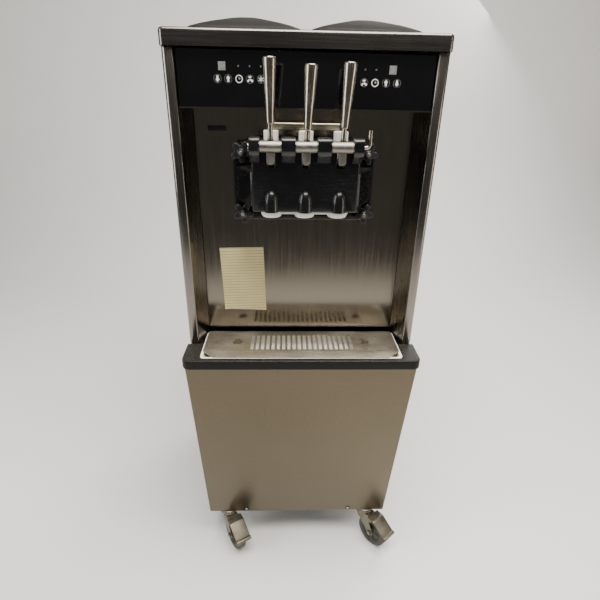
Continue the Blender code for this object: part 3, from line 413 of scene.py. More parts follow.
# ---------------------------------------------------------------- lower front panel
# Slanted service door of 1.5 mm stainless sheet, side edges folded back, held by two pan-head
# screws on rubber washers near its foot. Its grain runs upright.
# Its two tones are set darker than the other stainless sheets': painted shade, standing in for the
# dim floor under the machine that the slanted door reflects.
door_steel_painted_shade = finish("satin_stainless_lower_painted_shade", ("#595143", "#615949"), (0.28, 0.34), 1.0,
                     (1.6, 1.6, 220), 420, 0.0)
SHEET = 0.0015
low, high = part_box("lower_front_panel")
FOLD = 0.016
panel_path = sheet([(low.x, FOLD), (low.x, 0.0), (high.x, 0.0), (high.x, FOLD)], SHEET, 0.004, 5)
share = np.linspace(0, 1, 9)
fronts = high.y - FOLD + share * (low.y - high.y + FOLD)
door = skin([laid("Z", panel_path + [0.0, y], z)
             for y, z in zip(fronts, low.z + share * (high.z - low.z))])
SCREW_X, SCREW_Z, DOOR_LEAN = 0.157, low.z + 0.0130, 0.19
made("service_door", [door], door_steel_painted_shade, "cabinet", "stainless", "lower_front_panel")


def combined(base, tools, operation):
    """A closed skin with others joined to it (UNION) or cut out of it (DIFFERENCE)."""
    bodies = [bpy.data.objects.new("tool", mesh) for mesh in (base, *tools)]
    for tool in bodies:
        bpy.context.scene.collection.objects.link(tool)
    for tool in bodies[1:]:
        boolean = bodies[0].modifiers.new("combine", "BOOLEAN")
        boolean.operation = operation
        boolean.solver = "MANIFOLD"
        boolean.object = tool
    evaluated = bodies[0].evaluated_get(bpy.context.evaluated_depsgraph_get())
    result = bpy.data.meshes.new_from_object(evaluated)
    for tool, mesh in zip(bodies, (base, *tools)):
        bpy.data.objects.remove(tool)
        bpy.data.meshes.remove(mesh)
    result.materials.clear()
    return result


def pan_screw(place, outward, radius=0.0042):
    """A pan-head screw: a turned dome with a cross of two shallow bars let into its top."""
    dome = eased([(0.0, 0.0), (radius, 0.0), (radius, radius * 0.35),
                  (radius * 0.75, radius * 0.62), (0.0, radius * 0.66)], radius * 0.2, 3,
                 closed=False)
    head = turned(dome, "Z", (0.0, 0.0), 24)
    slots = [block((-a, -b, radius * 0.38), (a, b, radius), 0.0001)
             for a, b in ((radius * 0.55, radius * 0.13), (radius * 0.13, radius * 0.55))]
    turn = Vector(outward).to_track_quat("Z", "Y").to_matrix().to_4x4()
    return moved(combined(head, slots, "DIFFERENCE"), Matrix.Translation(place) @ turn)


bright_zinc = finish("bright_zinc_screws", ("#a9a69c", "#d2cfc6"), (0.22, 0.35), 1.0, (1, 1, 1), 10,
                     0.01)
screws, washers = [], []
slope = Vector((0, -1, -DOOR_LEAN)).to_track_quat("Z", "Y").to_matrix().to_4x4()
screw_y = fronts[0] - DOOR_LEAN * (SCREW_Z - low.z) + 0.0002
for side in (-1, 1):
    place = Matrix.Translation((side * SCREW_X, screw_y, SCREW_Z)) @ slope
    ring = turned([(0.0030, -0.0002), (0.0068, -0.0002), (0.0068, 0.0006), (0.0030, 0.0006)], "Z",
                  (0, 0), 36, loop=True)
    washers.append(moved(ring, place))
    screws.append(pan_screw(place @ Vector((0, -0.0006, 0.0006)), (0, -1, -DOOR_LEAN), 0.0036))
made("service_door_screws", screws, bright_zinc, "cabinet", "stainless")
rubber = finish("black_rubber_washers", ("#0b0b0a", "#151513"), (0.6, 0.8), 0.0, (1, 1, 1), 8)
made("door_screw_washers", washers, rubber, "cabinet", "drive_rubber")

# ---------------------------------------------------------------- side and rear panels
# Stainless sheets with upright grain, pressed louvres over the slots beside the refrigeration,
# and a row of screws down each rear edge. The cable gland is a moulded nylon nut and dome.


def dressed(material, *nodes):
    """A finish for CAD nodes that show as they are."""
    for node in nodes:
        mesh = frame["nodes"][node].data
        mesh.materials.clear()
        mesh.materials.append(material)


side_steel = finish("satin_stainless_sides", ("#81796e", "#90887d"), (0.30, 0.42), 1.0,
                    (2.5, 2.5, 160), 280, 0.002)
dressed(side_steel, "left_side_panel", "right_side_panel", "rear_panel")


def louvre(length, middle, height):
    """A pressed hood, its section a quarter ellipse that swells from the sheet at each end:
    depth is the section's times the fourth root of one less the place along to the sixth power."""
    along = np.linspace(-1, 1, 25)
    swell = np.maximum(1 - along ** 6, 0.03) ** 0.25
    turn = np.linspace(0, pi / 2, 9)
    outer = np.stack([np.sin(turn) * 0.0060, height * (1 - np.sin(turn) ** 2 * 0.85)], 1)
    section = np.concatenate([outer, (outer - [0.0009, 0.0009])[::-1]])
    section[:, 0] = np.maximum(section[:, 0], 0.0)
    grid = np.zeros((len(along), len(section), 3))
    grid[..., 0] = section[None, :, 0] * swell[:, None]
    grid[..., 1] = (along * length / 2)[:, None]
    grid[..., 2] = middle + section[None, :, 1]
    return skin(grid)


SLOT_RISE, HOOD_HEIGHT = 0.036, 0.012
SIDE_HOOD, SIDE_HOOD_Y, SIDE_FIRST, SIDE_HOODS = 0.196, 0.075, 0.220, 7
REAR_HOOD, REAR_LEVELS = 0.286, ((0.240, 7), (0.860, 5))
REAR_SCREW_X, REAR_SCREW_Z = 0.251, np.linspace(0.150, 1.345, 7)
for name, side in (("left", -1), ("right", 1)):
    hoods = []
    for i in range(SIDE_HOODS):
        hood = louvre(SIDE_HOOD, SIDE_FIRST + SLOT_RISE * i, HOOD_HEIGHT)
        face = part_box(name + "_side_panel")[1 if side > 0 else 0].x
        outward = Matrix.Rotation(0 if side > 0 else pi, 4, "Z")
        hoods.append(moved(hood, Matrix.Translation((face, SIDE_HOOD_Y, 0.0)) @ outward))
    made(name + "_louvres", hoods, side_steel, "cabinet", "stainless")
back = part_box("rear_panel")[1].y
hoods = []
backward = Matrix.Rotation(pi / 2, 4, "Z")
for z in [first + SLOT_RISE * i for first, count in REAR_LEVELS for i in range(count)]:
    hood = louvre(REAR_HOOD, z, HOOD_HEIGHT)
    hoods.append(moved(hood, Matrix.Translation((0.0, back, 0.0)) @ backward))
made("rear_louvres", hoods, side_steel, "cabinet", "stainless")
rear_screws = [pan_screw((x, back, z), (0, 1, 0))
               for x in (-REAR_SCREW_X, REAR_SCREW_X) for z in REAR_SCREW_Z]
made("rear_screws", rear_screws, bright_zinc, "cabinet", "stainless")

black_nylon = finish("black_nylon", ("#161614", "#232320"), (0.4, 0.55), 0.0, (1, 1, 1), 12, 0.02)
gland_low, gland_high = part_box("cable_gland")
gland = ((gland_low.x + gland_high.x) / 2, (gland_low.z + gland_high.z) / 2)
nut = turned([(0.0042, back + 0.0004), (0.0145, back + 0.0004), (0.0145, 0.3690), (0.0042, 0.3690)],
             "Y", gland, 6, loop=True)
dome = turned(eased([(0.0040, gland_low.y), (0.0083, gland_low.y), (0.0083, 0.3680),
                     (0.0118, 0.3690), (0.0112, 0.3725), (0.0080, gland_high.y),
                     (0.0040, gland_high.y)], 0.0009, 3), "Y", gland, 36, loop=True)
made("cord_gland", [nut, dome], black_nylon, "cabinet", "black_moulding", "cable_gland")

# ---------------------------------------------------------------- pillars
# Uprights folded from one stainless strip: short wrap round the side, 8 mm corner, flat face, and
# a return that runs back to the splash panel.
upright_steel = finish("satin_stainless_uprights", ("#75706a", "#86817a"), (0.20, 0.30), 1.0,
                       (2, 2, 140), 240, 0.0015)
RETURN_SPLAY, WRAP = 0.0141, 0.0262
for name, side in (("left", -1), ("right", 1)):
    low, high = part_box(name + "_pillar")
    outer, inner = (high.x, low.x) if side > 0 else (-low.x, -high.x)
    face, splash = low.y, high.y
    path = [(outer, face + WRAP), (outer, face), (inner + RETURN_SPLAY, face), (inner, splash)]
    outline = sheet(path, -SHEET, [0, 0.013, 0.004, 0], 6) * [side, 1.0]
    made(name + "_upright", [extruded(outline, "Z", low.z, high.z, 0.0003, 2)], upright_steel,
         "cabinet", "stainless", name + "_pillar")

# ---------------------------------------------------------------- splash panel, plate and note
# The recess's back sheet, with a blank rating plate of black anodised foil and a sheet torn from a
# yellow ruled pad, held by its top edge so that its foot curls.
splash_steel = finish("satin_stainless_splash", ("#837c70", "#8f887c"), (0.13, 0.20), 1.0,
                      (3, 3, 140), 260, 0.0008)
dressed(splash_steel, "splash_panel", "control_housing")
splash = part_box("splash_panel")[0].y
black_foil = finish("black_anodised_foil", ("#0c0c0c", "#161616"), (0.3, 0.45), 0.0, (1, 1, 1), 15)
plate = [block((-0.2050, splash - 0.0006, 1.2250), (-0.1660, splash - 0.0001, 1.2360), 0.0002,
               0.0012)]
made("blank_plate", plate, black_foil, "cabinet", "black_moulding")

LINE_PITCH, LINE_SHARE = 0.0071, 0.07
paper = finish("ruled_pad_paper", ("#d8ca90", "#e4d8a6"), (0.75, 0.9), 0.0, (0.6, 0.6, 0.6), 40,
               0.01)
tree = paper.node_tree
shader = tree.nodes["Principled BSDF"]
paper_colour = shader.inputs["Base Color"].links[0].from_socket
tilted = add(tree, "Mapping",
             {"Vector": add(tree, "TexCoord").outputs["Object"],
              "Rotation": (0.0, radians(2.0), 0.0)})
height = add(tree, "SeparateXYZ", {0: tilted.outputs[0]}).outputs["Z"]
row = add(tree, "Math",
          {0: add(tree, "Math", {0: height, 1: LINE_PITCH}, operation="DIVIDE").outputs[0]},
          operation="FRACT").outputs[0]
ruled = add(tree, "Math", {0: row, 1: 0.5, 2: LINE_SHARE}, operation="COMPARE").outputs[0]
inked = add(tree, "Mix", {0: ruled, 6: paper_colour, 7: linear("#8c8d70")},
            data_type="RGBA").outputs[2]
tree.links.new(inked, shader.inputs["Base Color"])
TOP_LEFT, TOP_RIGHT, FOOT_LEFT, FOOT_RIGHT = (
    [-0.196, 0.965], [-0.092, 0.968], [-0.190, 0.807], [-0.087, 0.804])
PAPER = 0.00015
u, v = np.meshgrid(np.linspace(0, 1, 21), np.linspace(0, 1, 31))
top = (1 - u)[..., None] * TOP_LEFT + u[..., None] * TOP_RIGHT
foot = (1 - u)[..., None] * FOOT_LEFT + u[..., None] * FOOT_RIGHT
flat = (1 - v)[..., None] * top + v[..., None] * foot
lift = 0.0006 + 0.0035 * v ** 3 + 0.0030 * (v * (1 - u)) ** 6
front = laid("Y", flat, splash - lift)
behind = laid("Y", flat, splash - lift + PAPER)
made("ruled_note", [skin(np.concatenate([front, behind[:, ::-1]], 1))], paper, "cabinet",
     "white_plastic", crease=60)

# ---------------------------------------------------------------- top trim and deck
# Band of folded stainless round the top: upright face, rolled upper edge, inner lip. The grain
# runs along it. The deck sheet lies inside.
band_steel = finish("satin_stainless_band", ("#6a6762", "#777470"), (0.20, 0.30), 1.0,
                    (140, 140, 2.5), 200, 0.001, ("#6f6a62", 0.25, 4))


def rounded_plan(low, high, inset, radius, steps=8):
    """A rectangle between two corners, drawn in by an inset, with quarter-circle corners."""
    turn = np.linspace(0, pi / 2, steps)
    arc = radius * np.stack([np.cos(turn), np.sin(turn)], 1)
    x = low[0] + inset + radius, high[0] - inset - radius
    y = low[1] + inset + radius, high[1] - inset - radius
    return np.concatenate([[x[1], y[1]] + arc, [x[0], y[1]] + arc[:, ::-1] * [-1, 1],
                           [x[0], y[0]] - arc, [x[1], y[0]] + arc[:, ::-1] * [1, -1]])


low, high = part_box("top_trim")
LIP = 0.0138
band = sheet([(0.0, low.z), (0.0, high.z), (LIP, high.z), (LIP, high.z - 0.0150)], -SHEET,
             [0, 0.0065, 0.003, 0], 6)
rings = [laid("Z", rounded_plan(low, high, inset, max(0.010 - inset * 0.4, 0.003)), z)
         for inset, z in band]
made("rolled_band", [skin(rings, loop=True)], band_steel, "cabinet", "stainless", "top_trim")
deck_steel = finish("satin_stainless_deck", ("#8a857d", "#a09a92"), (0.26, 0.40), 1.0,
                    (90, 1.6, 90), 150, 0.005)
dressed(deck_steel, "top_deck", "left_hopper", "right_hopper")

# ---------------------------------------------------------------- hopper lids and air tubes
# Covers thermoformed from black ABS: an upright skirt and a broad, low dome, both carried round a
# rounded rectangle. A polished stainless air tube stands in each hopper.
black_abs = finish("thermoformed_black_abs", ("#090908", "#11100f"), (0.55, 0.7), 0.0,
                   (1.5, 1.5, 1.5), 60, 0.02, ("#4a4843", 0.12, 5), Specular_IOR_Level=0.25)
polished = finish("polished_stainless", ("#948d80", "#aca597"), (0.20, 0.30), 1.0, (3, 3, 30), 40,
                  0.001)
for name in ("left", "right"):
    low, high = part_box(name + "_hopper_lid")
    rise = high.z - low.z
    dome = eased([(0.0, 0.0, 0.0006), (0.0, 0.0, 0.0250), (0.030, 0.017, 0.0350),
                  (0.074, 0.050, 0.0458), (0.093, 0.080, 0.0518), (0.104, 0.100, rise)],
                 [0.001, 0.008, 0.02, 0.03, 0.02, 0.004], 6, closed=False)
    under = eased([(0.096, 0.086, 0.0485), (0.075, 0.053, 0.0422), (0.034, 0.020, 0.0322),
                   (0.0030, 0.0030, 0.0222), (0.0030, 0.0030, 0.0006)],
                  [0.01, 0.02, 0.015, 0.006, 0.001], 5, closed=False)
    rings = []
    for x_inset, y_inset, z in np.concatenate([dome, under]):
        drawn = (low.x + x_inset, low.y + y_inset), (high.x - x_inset, high.y - y_inset)
        rings.append(laid("Z", rounded_plan(*drawn, 0.0, 0.034 - 0.25 * y_inset), low.z + z))
    made(name + "_lid", [skin(rings, loop=True)], black_abs,
         name + "_hopper_lid", "black_moulding", name + "_hopper_lid", crease=50)
    low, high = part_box(name + "_air_tube")
    centre = ((low.x + high.x) / 2, (low.y + high.y) / 2)
    tube = eased([(0.0062, low.z), (0.0097, low.z), (0.0097, 1.2252), (0.0124, 1.2270),
                  (0.0124, 1.2320), (0.0097, 1.2338), (0.0097, high.z), (0.0062, high.z)], 0.0010,
                 3)
    made(name + "_feed_tube", [turned(tube, "Z", centre, loop=True)], polished, name + "_air_tube",
         "polished_steel", name + "_air_tube")

# ---------------------------------------------------------------- control panel
# Toughened glass back-printed in gloss black, with white touch symbols in grey rings, two smoked
# display windows, indicator lamps and a bright strip under its edge. It has no wording.
black_glass = finish("back_printed_glass", ("#050508", "#08080b"), (0.05, 0.10), 0.0, (60, 60, 60),
                     120, Coat_Weight=0.5, Coat_Roughness=0.04)
white_ink = finish("white_screen_ink", ("#d8d8d4", "#efefec"), (0.45, 0.6), 0.0, (1, 1, 1), 10)
grey_ink = finish("grey_screen_ink", ("#6f6f6c", "#858582"), (0.45, 0.6), 0.0, (1, 1, 1), 10)
grey_window = finish("smoked_display_window", ("#737373", "#8c8c8c"), (0.25, 0.35), 0.0,
                     (0.9, 0.9, 0.9), 6)
lamp_lens = finish("frosted_lamp_lens", ("#4e4c48", "#6b6862"), (0.3, 0.4), 0.0, (1, 1, 1), 6)
low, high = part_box("control_glass")
pane = eased([(low.x, low.z), (high.x, low.z), (high.x, high.z), (low.x, high.z)], 0.0015)
made("control_pane", [extruded(pane, "Y", low.y, high.y, 0.0006, 2)], black_glass, "cabinet",
     "black_glass", "control_glass")
strip = block((low.x, low.y - 0.0002, low.z - 0.0022), (high.x, low.y + 0.0006, low.z - 0.0004),
              0.0002)
made("pane_edge_strip", [strip], bright_zinc, "cabinet", "stainless")
INK = 0.00012
ink_y = (low.y - INK, low.y - INK / 4)


def ring_mark(x, z, outer, inner):
    """A flat printed ring."""
    return turned([(inner, ink_y[0]), (outer, ink_y[0]), (outer, ink_y[1]), (inner, ink_y[1])], "Y",
                  (x, z), 40, loop=True)


def flat_mark(x, z, points, size, turn=0.0):
    """A flat printed shape from points in units of its size, turned about its middle."""
    points = np.asarray(points, float) * size
    c, s = cos(turn), sin(turn)
    return extruded(points @ np.array([[c, s], [-s, c]]) + [x, z], "Y", *ink_y)


ARROW = [(-0.27, -0.72), (0.27, -0.72), (0.27, 0.10), (0.62, 0.10), (0.0, 0.80), (-0.62, 0.10),
         (-0.27, 0.10)]
BAR = [(-0.08, -0.75), (0.08, -0.75), (0.08, 0.75), (-0.08, 0.75)]
petal = np.linspace(0, tau, 25)[:-1]
DROP = np.stack([0.42 * np.sin(petal) * np.sin(petal / 2), 0.62 * np.cos(petal)], 1)
RADIUS, RING_INK = 0.0073, 0.0004


def symbol(kind, x, z):
    """What one touch symbol's ring holds: an arrow, a clock, three drops turning, or a flake."""
    inside = RADIUS - RING_INK
    marks = []
    if kind == "up":
        marks.append(flat_mark(x, z, ARROW, inside))
    elif kind == "down":
        marks.append(flat_mark(x, z, ARROW, inside, pi))
    elif kind == "clock":
        marks += [ring_mark(x, z, RADIUS - 0.0006, RADIUS - 0.0019),
                  flat_mark(x, z + 0.0013, BAR, inside * 0.4),
                  flat_mark(x + 0.0012, z, BAR, inside * 0.35, -pi / 2.6)]
    elif kind == "rinse":
        marks += [flat_mark(x + 0.0022, z - 0.0018, DROP, inside * 0.9, 0.9),
                  flat_mark(x - 0.0030, z - 0.0022, DROP, inside * 0.7, -0.6),
                  flat_mark(x - 0.0006, z + 0.0036, DROP, inside * 0.75, 1.7)]
    else:
        marks += [flat_mark(x, z, BAR, inside, i * pi / 3) for i in range(3)]
        marks += [flat_mark(x + 0.0030 * cos(a), z + 0.0030 * sin(a), BAR, inside * 0.35, a + barb)
                  for a in np.arange(6) * pi / 3 + pi / 2 for barb in (0.9, -0.9)]
    return marks


marks, rims = [], []
LEFT_SYMBOLS = (("down", -0.1686), ("up", -0.1485), ("clock", -0.1280), ("rinse", -0.1073),
                ("flake", -0.0866))
RIGHT_SYMBOLS = (("rinse", 0.1100), ("clock", 0.1309), ("up", 0.1520), ("down", 0.1732))
LEFT_ROW, RIGHT_ROW = 1.3218, 1.3197
for kind, x in LEFT_SYMBOLS + RIGHT_SYMBOLS:
    z = LEFT_ROW if x < 0 else RIGHT_ROW
    rims.append(ring_mark(x, z, RADIUS, RADIUS - RING_INK))
    marks += symbol(kind, x, z)
made("touch_symbols", marks, white_ink, "cabinet", "white_plastic", crease=20)
made("symbol_rims", rims, grey_ink, "cabinet", "white_plastic", crease=20)
HALF_WIDE, HALF_TALL = 0.0068, 0.0074
windows = [block((x - HALF_WIDE, low.y - 0.0003, z - HALF_TALL),
                 (x + HALF_WIDE, low.y - 0.0001, z + HALF_TALL), 0.0001, 0.0004)
           for x, z in ((-0.1595, 1.3432), (0.1634, 1.3420))]
made("display_windows", windows, grey_window, "cabinet", "black_glass")
LAMPS = ((-0.1289, 1.3433), (-0.1078, 1.3433), (-0.0868, 1.3433), (0.1108, 1.3418),
         (0.1315, 1.3418))
lamps = []
for x, z in LAMPS:
    lens = eased([(0.0, 0.0), (0.0016, 0.0), (0.0016, 0.0003), (0.0, 0.0007)], 0.0002, 2,
                 closed=False)
    lamps.append(turned([(r, low.y - 0.0001 - a) for r, a in lens], "Y", (x, z), 16))
made("indicator_lamps", lamps, lamp_lens, "cabinet", "black_glass")

# ---------------------------------------------------------------- tray surround
# Shelf edge injection-moulded in black ABS: a front bar and two ends with a rebate for the tray's
# rim. Its top is dusted with dried sugar.
shelf_abs = finish("moulded_black_abs", ("#090908", "#11110f"), (0.45, 0.6), 0.0, (1, 1, 1), 30,
                   0.02, ("#7d776e", 0.28, 3), Specular_IOR_Level=0.2)
low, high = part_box("tray_surround")
tray_low, tray_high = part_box("drip_tray")
CORNER = 0.020


def shelf_ring(z, outer_inset, well):
    """The shelf's U outline at a height: the outside drawn in by an inset, the well inside grown
    from the tray's rim."""
    x0, x1, y0, y1 = low.x + outer_inset, high.x - outer_inset, low.y + outer_inset, high.y
    wx, wy = tray_high.x + well, tray_low.y - well
    corners = [(x0, y1), (x0, y0), (x1, y0), (x1, y1), (wx, y1), (wx, wy), (-wx, wy), (-wx, y1)]
    return laid("Z", eased(corners, [0.001, CORNER, CORNER, 0.001, 0.001, 0.010, 0.010, 0.001], 6),
                z)


UNDER_EDGE, TOP_EDGE, LEDGE_WELL, RIM_WELL = 0.0020, 0.0035, -0.0027, 0.0007
ledge = tray_low.z + 0.0326
turn = np.linspace(0, pi / 2, 5)
rings = [shelf_ring(low.z + UNDER_EDGE * (1 - cos(t)), UNDER_EDGE * (1 - sin(t)), LEDGE_WELL)
         for t in turn]
rings += [shelf_ring(ledge, 0.0, LEDGE_WELL), shelf_ring(ledge, 0.0, RIM_WELL)]
rings += [shelf_ring(high.z - TOP_EDGE * (1 - sin(t)), TOP_EDGE * (1 - cos(t)),
                     RIM_WELL + 0.0004 * (1 - cos(t))) for t in turn]
made("shelf_edge", [skin(rings)], shelf_abs, "cabinet", "black_moulding", "tray_surround")

# ---------------------------------------------------------------- drip tray and its cover
# White basin vacuum-formed in styrene, with a flat rim, under a stamped stainless plate with
# chamfered front corners, round-ended drain slots and two finger holes.
white_styrene = finish("white_styrene", ("#efebdf", "#f8f5ec"), (0.3, 0.45), 0.0, (2, 2, 2), 35,
                       0.01)
RIM, WALL = 0.0040, 0.0023
low, high = tray_low, tray_high
profile = [(0.062, low.z + WALL, 0.004), (0.0120, low.z + WALL, 0.0085),
           (0.0085, low.z + 0.0045, 0.010), (0.0065, high.z - 0.0020, 0.011),
           (0.0055, high.z, 0.012), (0.0008, high.z, 0.013), (0.0, high.z - 0.0010, 0.013),
           (0.0, low.z + 0.0330, 0.013), (RIM, low.z + 0.0329, 0.010),
           (0.0062, low.z + 0.0030, 0.010), (0.0100, low.z, 0.009), (0.062, low.z, 0.004)]
flat_rear = Vector((high.x, high.y + RIM, 0))
rings = [laid("Z", rounded_plan(low, flat_rear, inset, radius), z) for inset, z, radius in profile]
made("white_basin", [skin(rings)], white_styrene, "drip_tray", "white_plastic", "drip_tray",
     crease=40)

cover_steel = finish("stamped_stainless", ("#a29b8d", "#bab3a5"), (0.38, 0.55), 1.0, (80, 3, 80),
                     70, 0.001, ("#7d7360", 0.35, 9))
low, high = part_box("drip_tray_cover")
CHAMFER, THROUGH = 0.028, 0.01
SLOTS, SLOT_PITCH, SLOT_WIDTH, SLOTS_ASIDE = 20, 0.0126, 0.0074, 0.0015
SLOT_FRONT, SLOT_BACK = -0.3240, -0.2540
HOLE_RADIUS, HOLE_X, HOLE_Y = 0.0119, 0.155, -0.288
rim_line = eased([(low.x, high.y), (low.x, low.y + CHAMFER), (low.x + CHAMFER, low.y),
                  (high.x - CHAMFER, low.y), (high.x, low.y + CHAMFER), (high.x, high.y)],
                 [0.006, 0.003, 0.003, 0.003, 0.003, 0.006], 4)
plate = extruded(rim_line, "Z", low.z, high.z, 0.0004, 2)
tools = []
for i in range(SLOTS):
    x = (i - (SLOTS - 1) / 2) * SLOT_PITCH + SLOTS_ASIDE
    x0, x1 = x - SLOT_WIDTH / 2, x + SLOT_WIDTH / 2
    slot_line = eased([(x0, SLOT_FRONT), (x1, SLOT_FRONT), (x1, SLOT_BACK), (x0, SLOT_BACK)],
                      0.0022, 3)
    tools.append(extruded(slot_line, "Z", low.z - THROUGH, high.z + THROUGH))
punch = [(0.0, low.z - THROUGH), (HOLE_RADIUS, low.z - THROUGH), (HOLE_RADIUS, high.z + THROUGH),
         (0.0, high.z + THROUGH)]
tools += [turned(punch, "Z", (side * HOLE_X, HOLE_Y), 40) for side in (-1, 1)]
work = bmesh.new()
for tool in tools:
    work.from_mesh(tool)
    bpy.data.meshes.remove(tool)
cutter = bpy.data.meshes.new("cutter")
work.to_mesh(cutter)
work.free()
made("drain_plate", [combined(plate, [cutter], "DIFFERENCE")], cover_steel, "drip_tray_cover",
     "stainless", "drip_tray_cover")

# ---------------------------------------------------------------- dispensing head
# Milled from one block of black acetal: clamping flange, front block with curved cheeks, lugs for
# the pivot pin, three valve bores open at the top, and a bullet-shaped boss in front of each bore.
acetal = finish("milled_black_acetal", ("#08080a", "#121214"), (0.16, 0.30), 0.0, (25, 25, 1.5), 70,
                0.004, ("#5a5750", 0.25, 3))
low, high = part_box("dispensing_head")
pivot = Vector(joints["centre_lever_pull"]["pos_m"])
PITCH = joints["right_lever_pull"]["pos_m"][0]
VALVE_Y = (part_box("centre_draw_valve")[0].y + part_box("centre_draw_valve")[1].y) / 2
BORE, HUB_HALF, BOSS, BOSS_RISE = 0.0146, 0.0205, 0.0150, 0.0275
STUD_X, STUD_LEVELS, STUD_HOLE = 0.131, (1.062, 1.188), 0.0065
HEAD_FRONT, HEAD_TOP, HEAD_BOTTOM = pivot.y + 0.013, pivot.z + 0.0086, 1.080
flange_front = high.y - 0.0337
flange = extruded(rounded_plan((low.x, 1.0430), (high.x, 1.2080), 0.0, 0.026, 10), "Y",
                  flange_front, high.y, 0.0030, 4)
body = block((-0.1065, HEAD_FRONT, HEAD_BOTTOM),
             (0.1065, flange_front + 0.010, HEAD_TOP), 0.0035, 0.0035)
cheek_line = eased([(-0.1450, flange_front + 0.005), (-0.1440, flange_front - 0.014),
                    (-0.1080, HEAD_FRONT + 0.0035), (0.1080, HEAD_FRONT + 0.0035),
                    (0.1440, flange_front - 0.014), (0.1450, flange_front + 0.005)],
                   [0.001, 0.034, 0.006, 0.006, 0.034, 0.001], 8)
cheeks = extruded(cheek_line, "Z", 1.0890, 1.1610, 0.0060, 4)
lug_line = eased([(pivot.y + 0.020, pivot.z - 0.030), (HEAD_FRONT, pivot.z - 0.032),
                  (pivot.y - 0.0120, pivot.z - 0.0120), (pivot.y - 0.0120, pivot.z + 0.0165),
                  (pivot.y + 0.020, pivot.z + 0.0165)], [0.001, 0.004, 0.008, 0.010, 0.001], 5)
inner_lug = (HUB_HALF + 0.0005, PITCH - HUB_HALF - 0.0005)
outer_lug = (PITCH + HUB_HALF + 0.0005, 0.1080)
parts = [body, cheeks]
for start, end in (inner_lug, outer_lug):
    parts += [extruded(lug_line, "X", start, end, 0.0008, 2),
              extruded(lug_line, "X", -end, -start, 0.0008, 2)]
cuts = [turned([(0.0, -0.15), (0.0044, -0.15), (0.0044, 0.15), (0.0, 0.15)], "X",
               (pivot.y, pivot.z), 24)]
for place in (-1, 0, 1):
    x = place * PITCH
    rise = np.linspace(0, pi / 2, 10)
    bullet = np.stack([BOSS * np.cos(rise) ** 0.8, 1.0960 + BOSS_RISE * np.sin(rise)], 1)
    bullet = np.concatenate([[(0.0, HEAD_BOTTOM + 0.0005), (BOSS, HEAD_BOTTOM + 0.0005)],
                             bullet[:-1], [(0.0, 1.1237)]])
    parts.append(turned(bullet, "Z", (x, HEAD_FRONT + 0.0055), 40))
    cuts.append(turned([(0.0, 1.05), (BORE, 1.05), (BORE, 1.25), (0.0, 1.25)], "Z",
                       (x, VALVE_Y), 48))
    cuts.append(block((x - 0.0085, -0.38, pivot.z - 0.0400), (x + 0.0085, VALVE_Y, 1.25), 0.0002))
stud_hole = [(0.0, -0.30), (STUD_HOLE, -0.30), (STUD_HOLE, -0.20), (0.0, -0.20)]
for side in (-1, 1):
    for z in STUD_LEVELS:
        cuts.append(turned(stud_hole, "Y", (side * STUD_X, z), 24))
head = combined(combined(flange, parts, "UNION"), cuts, "DIFFERENCE")
made("head_block", [head], acetal, "head", "black_acetal", "dispensing_head", crease=38)

# ---------------------------------------------------------------- nozzle plate
# Strip moulded in white acetal that clips under the head, with a rounded lobe and a six-pointed
# star outlet below each valve.
white_acetal = finish("white_acetal", ("#ebe7dc", "#f7f4ec"), (0.28, 0.42), 0.0, (2, 2, 2), 25,
                      0.01)
low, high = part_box("nozzle_plate")
bar = block((-0.0900, -0.3320, high.z - 0.0050), (0.0900, -0.2980, high.z), 0.0012, 0.008)
STAR_TIP, STAR_NOTCH = 0.0115, 0.0065
lobes, stars = [], []
for place in (-1, 0, 1):
    centre = (place * PITCH, VALVE_Y)
    lobe = eased([(0.0, low.z), (0.0185, low.z), (0.0215, low.z + 0.0060),
                  (0.0215, high.z - 0.0010), (0.0, high.z - 0.0010)], 0.0030, 5, closed=False)
    lobes.append(turned(lobe, "Z", centre, 48))
    angles = tau * np.arange(12) / 12
    reach = np.where(np.arange(12) % 2 == 0, STAR_TIP, STAR_NOTCH)
    star = np.stack([np.cos(angles), np.sin(angles)], 1) * reach[:, None] + centre
    stars.append(extruded(eased(star, 0.0008, 2), "Z", 1.05, 1.09))
strip = combined(combined(bar, lobes, "UNION"), stars, "DIFFERENCE")
made("nozzle_strip", [strip], white_acetal, "head", "white_plastic", "nozzle_plate", crease=38)

# ---------------------------------------------------------------- draw valves
# White acetal plungers with a rubber O-ring in a groove and a window for the lever's toe.
o_ring = finish("black_nitrile", ("#111110", "#1c1c1b"), (0.5, 0.65), 0.0, (1, 1, 1), 8, 0.01)
SEAL, SEAL_THICK, SEAL_Z = 0.0131, 0.0013, 1.1246
for place, name in ((-1, "left"), (0, "centre"), (1, "right")):
    low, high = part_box(name + "_draw_valve")
    x = place * PITCH
    stem = eased([(0.0, low.z), (0.0125, low.z), (0.0142, low.z + 0.0030), (0.0142, 1.1220),
                  (0.0126, 1.1230), (0.0126, 1.1262), (0.0142, 1.1272), (0.0142, high.z - 0.0005),
                  (0.0132, high.z), (0.0, high.z)], 0.0008, 3, closed=False)
    window = block((x - 0.0060, VALVE_Y - 0.02, pivot.z - 0.0540),
                   (x + 0.0060, VALVE_Y + 0.02, pivot.z - 0.0235), 0.0004)
    made(name + "_plunger", [combined(turned(stem, "Z", (x, VALVE_Y), 56), [window], "DIFFERENCE")],
         white_acetal, name + "_draw_valve", "white_plastic", name + "_draw_valve")
    angles = tau * np.arange(12) / 12
    seal = np.stack([SEAL + SEAL_THICK * np.cos(angles), SEAL_Z + SEAL_THICK * np.sin(angles)], 1)
    made(name + "_o_ring", [turned(seal, "Z", (x, VALVE_Y), 48, loop=True)], o_ring,
         name + "_draw_valve", "drive_rubber")

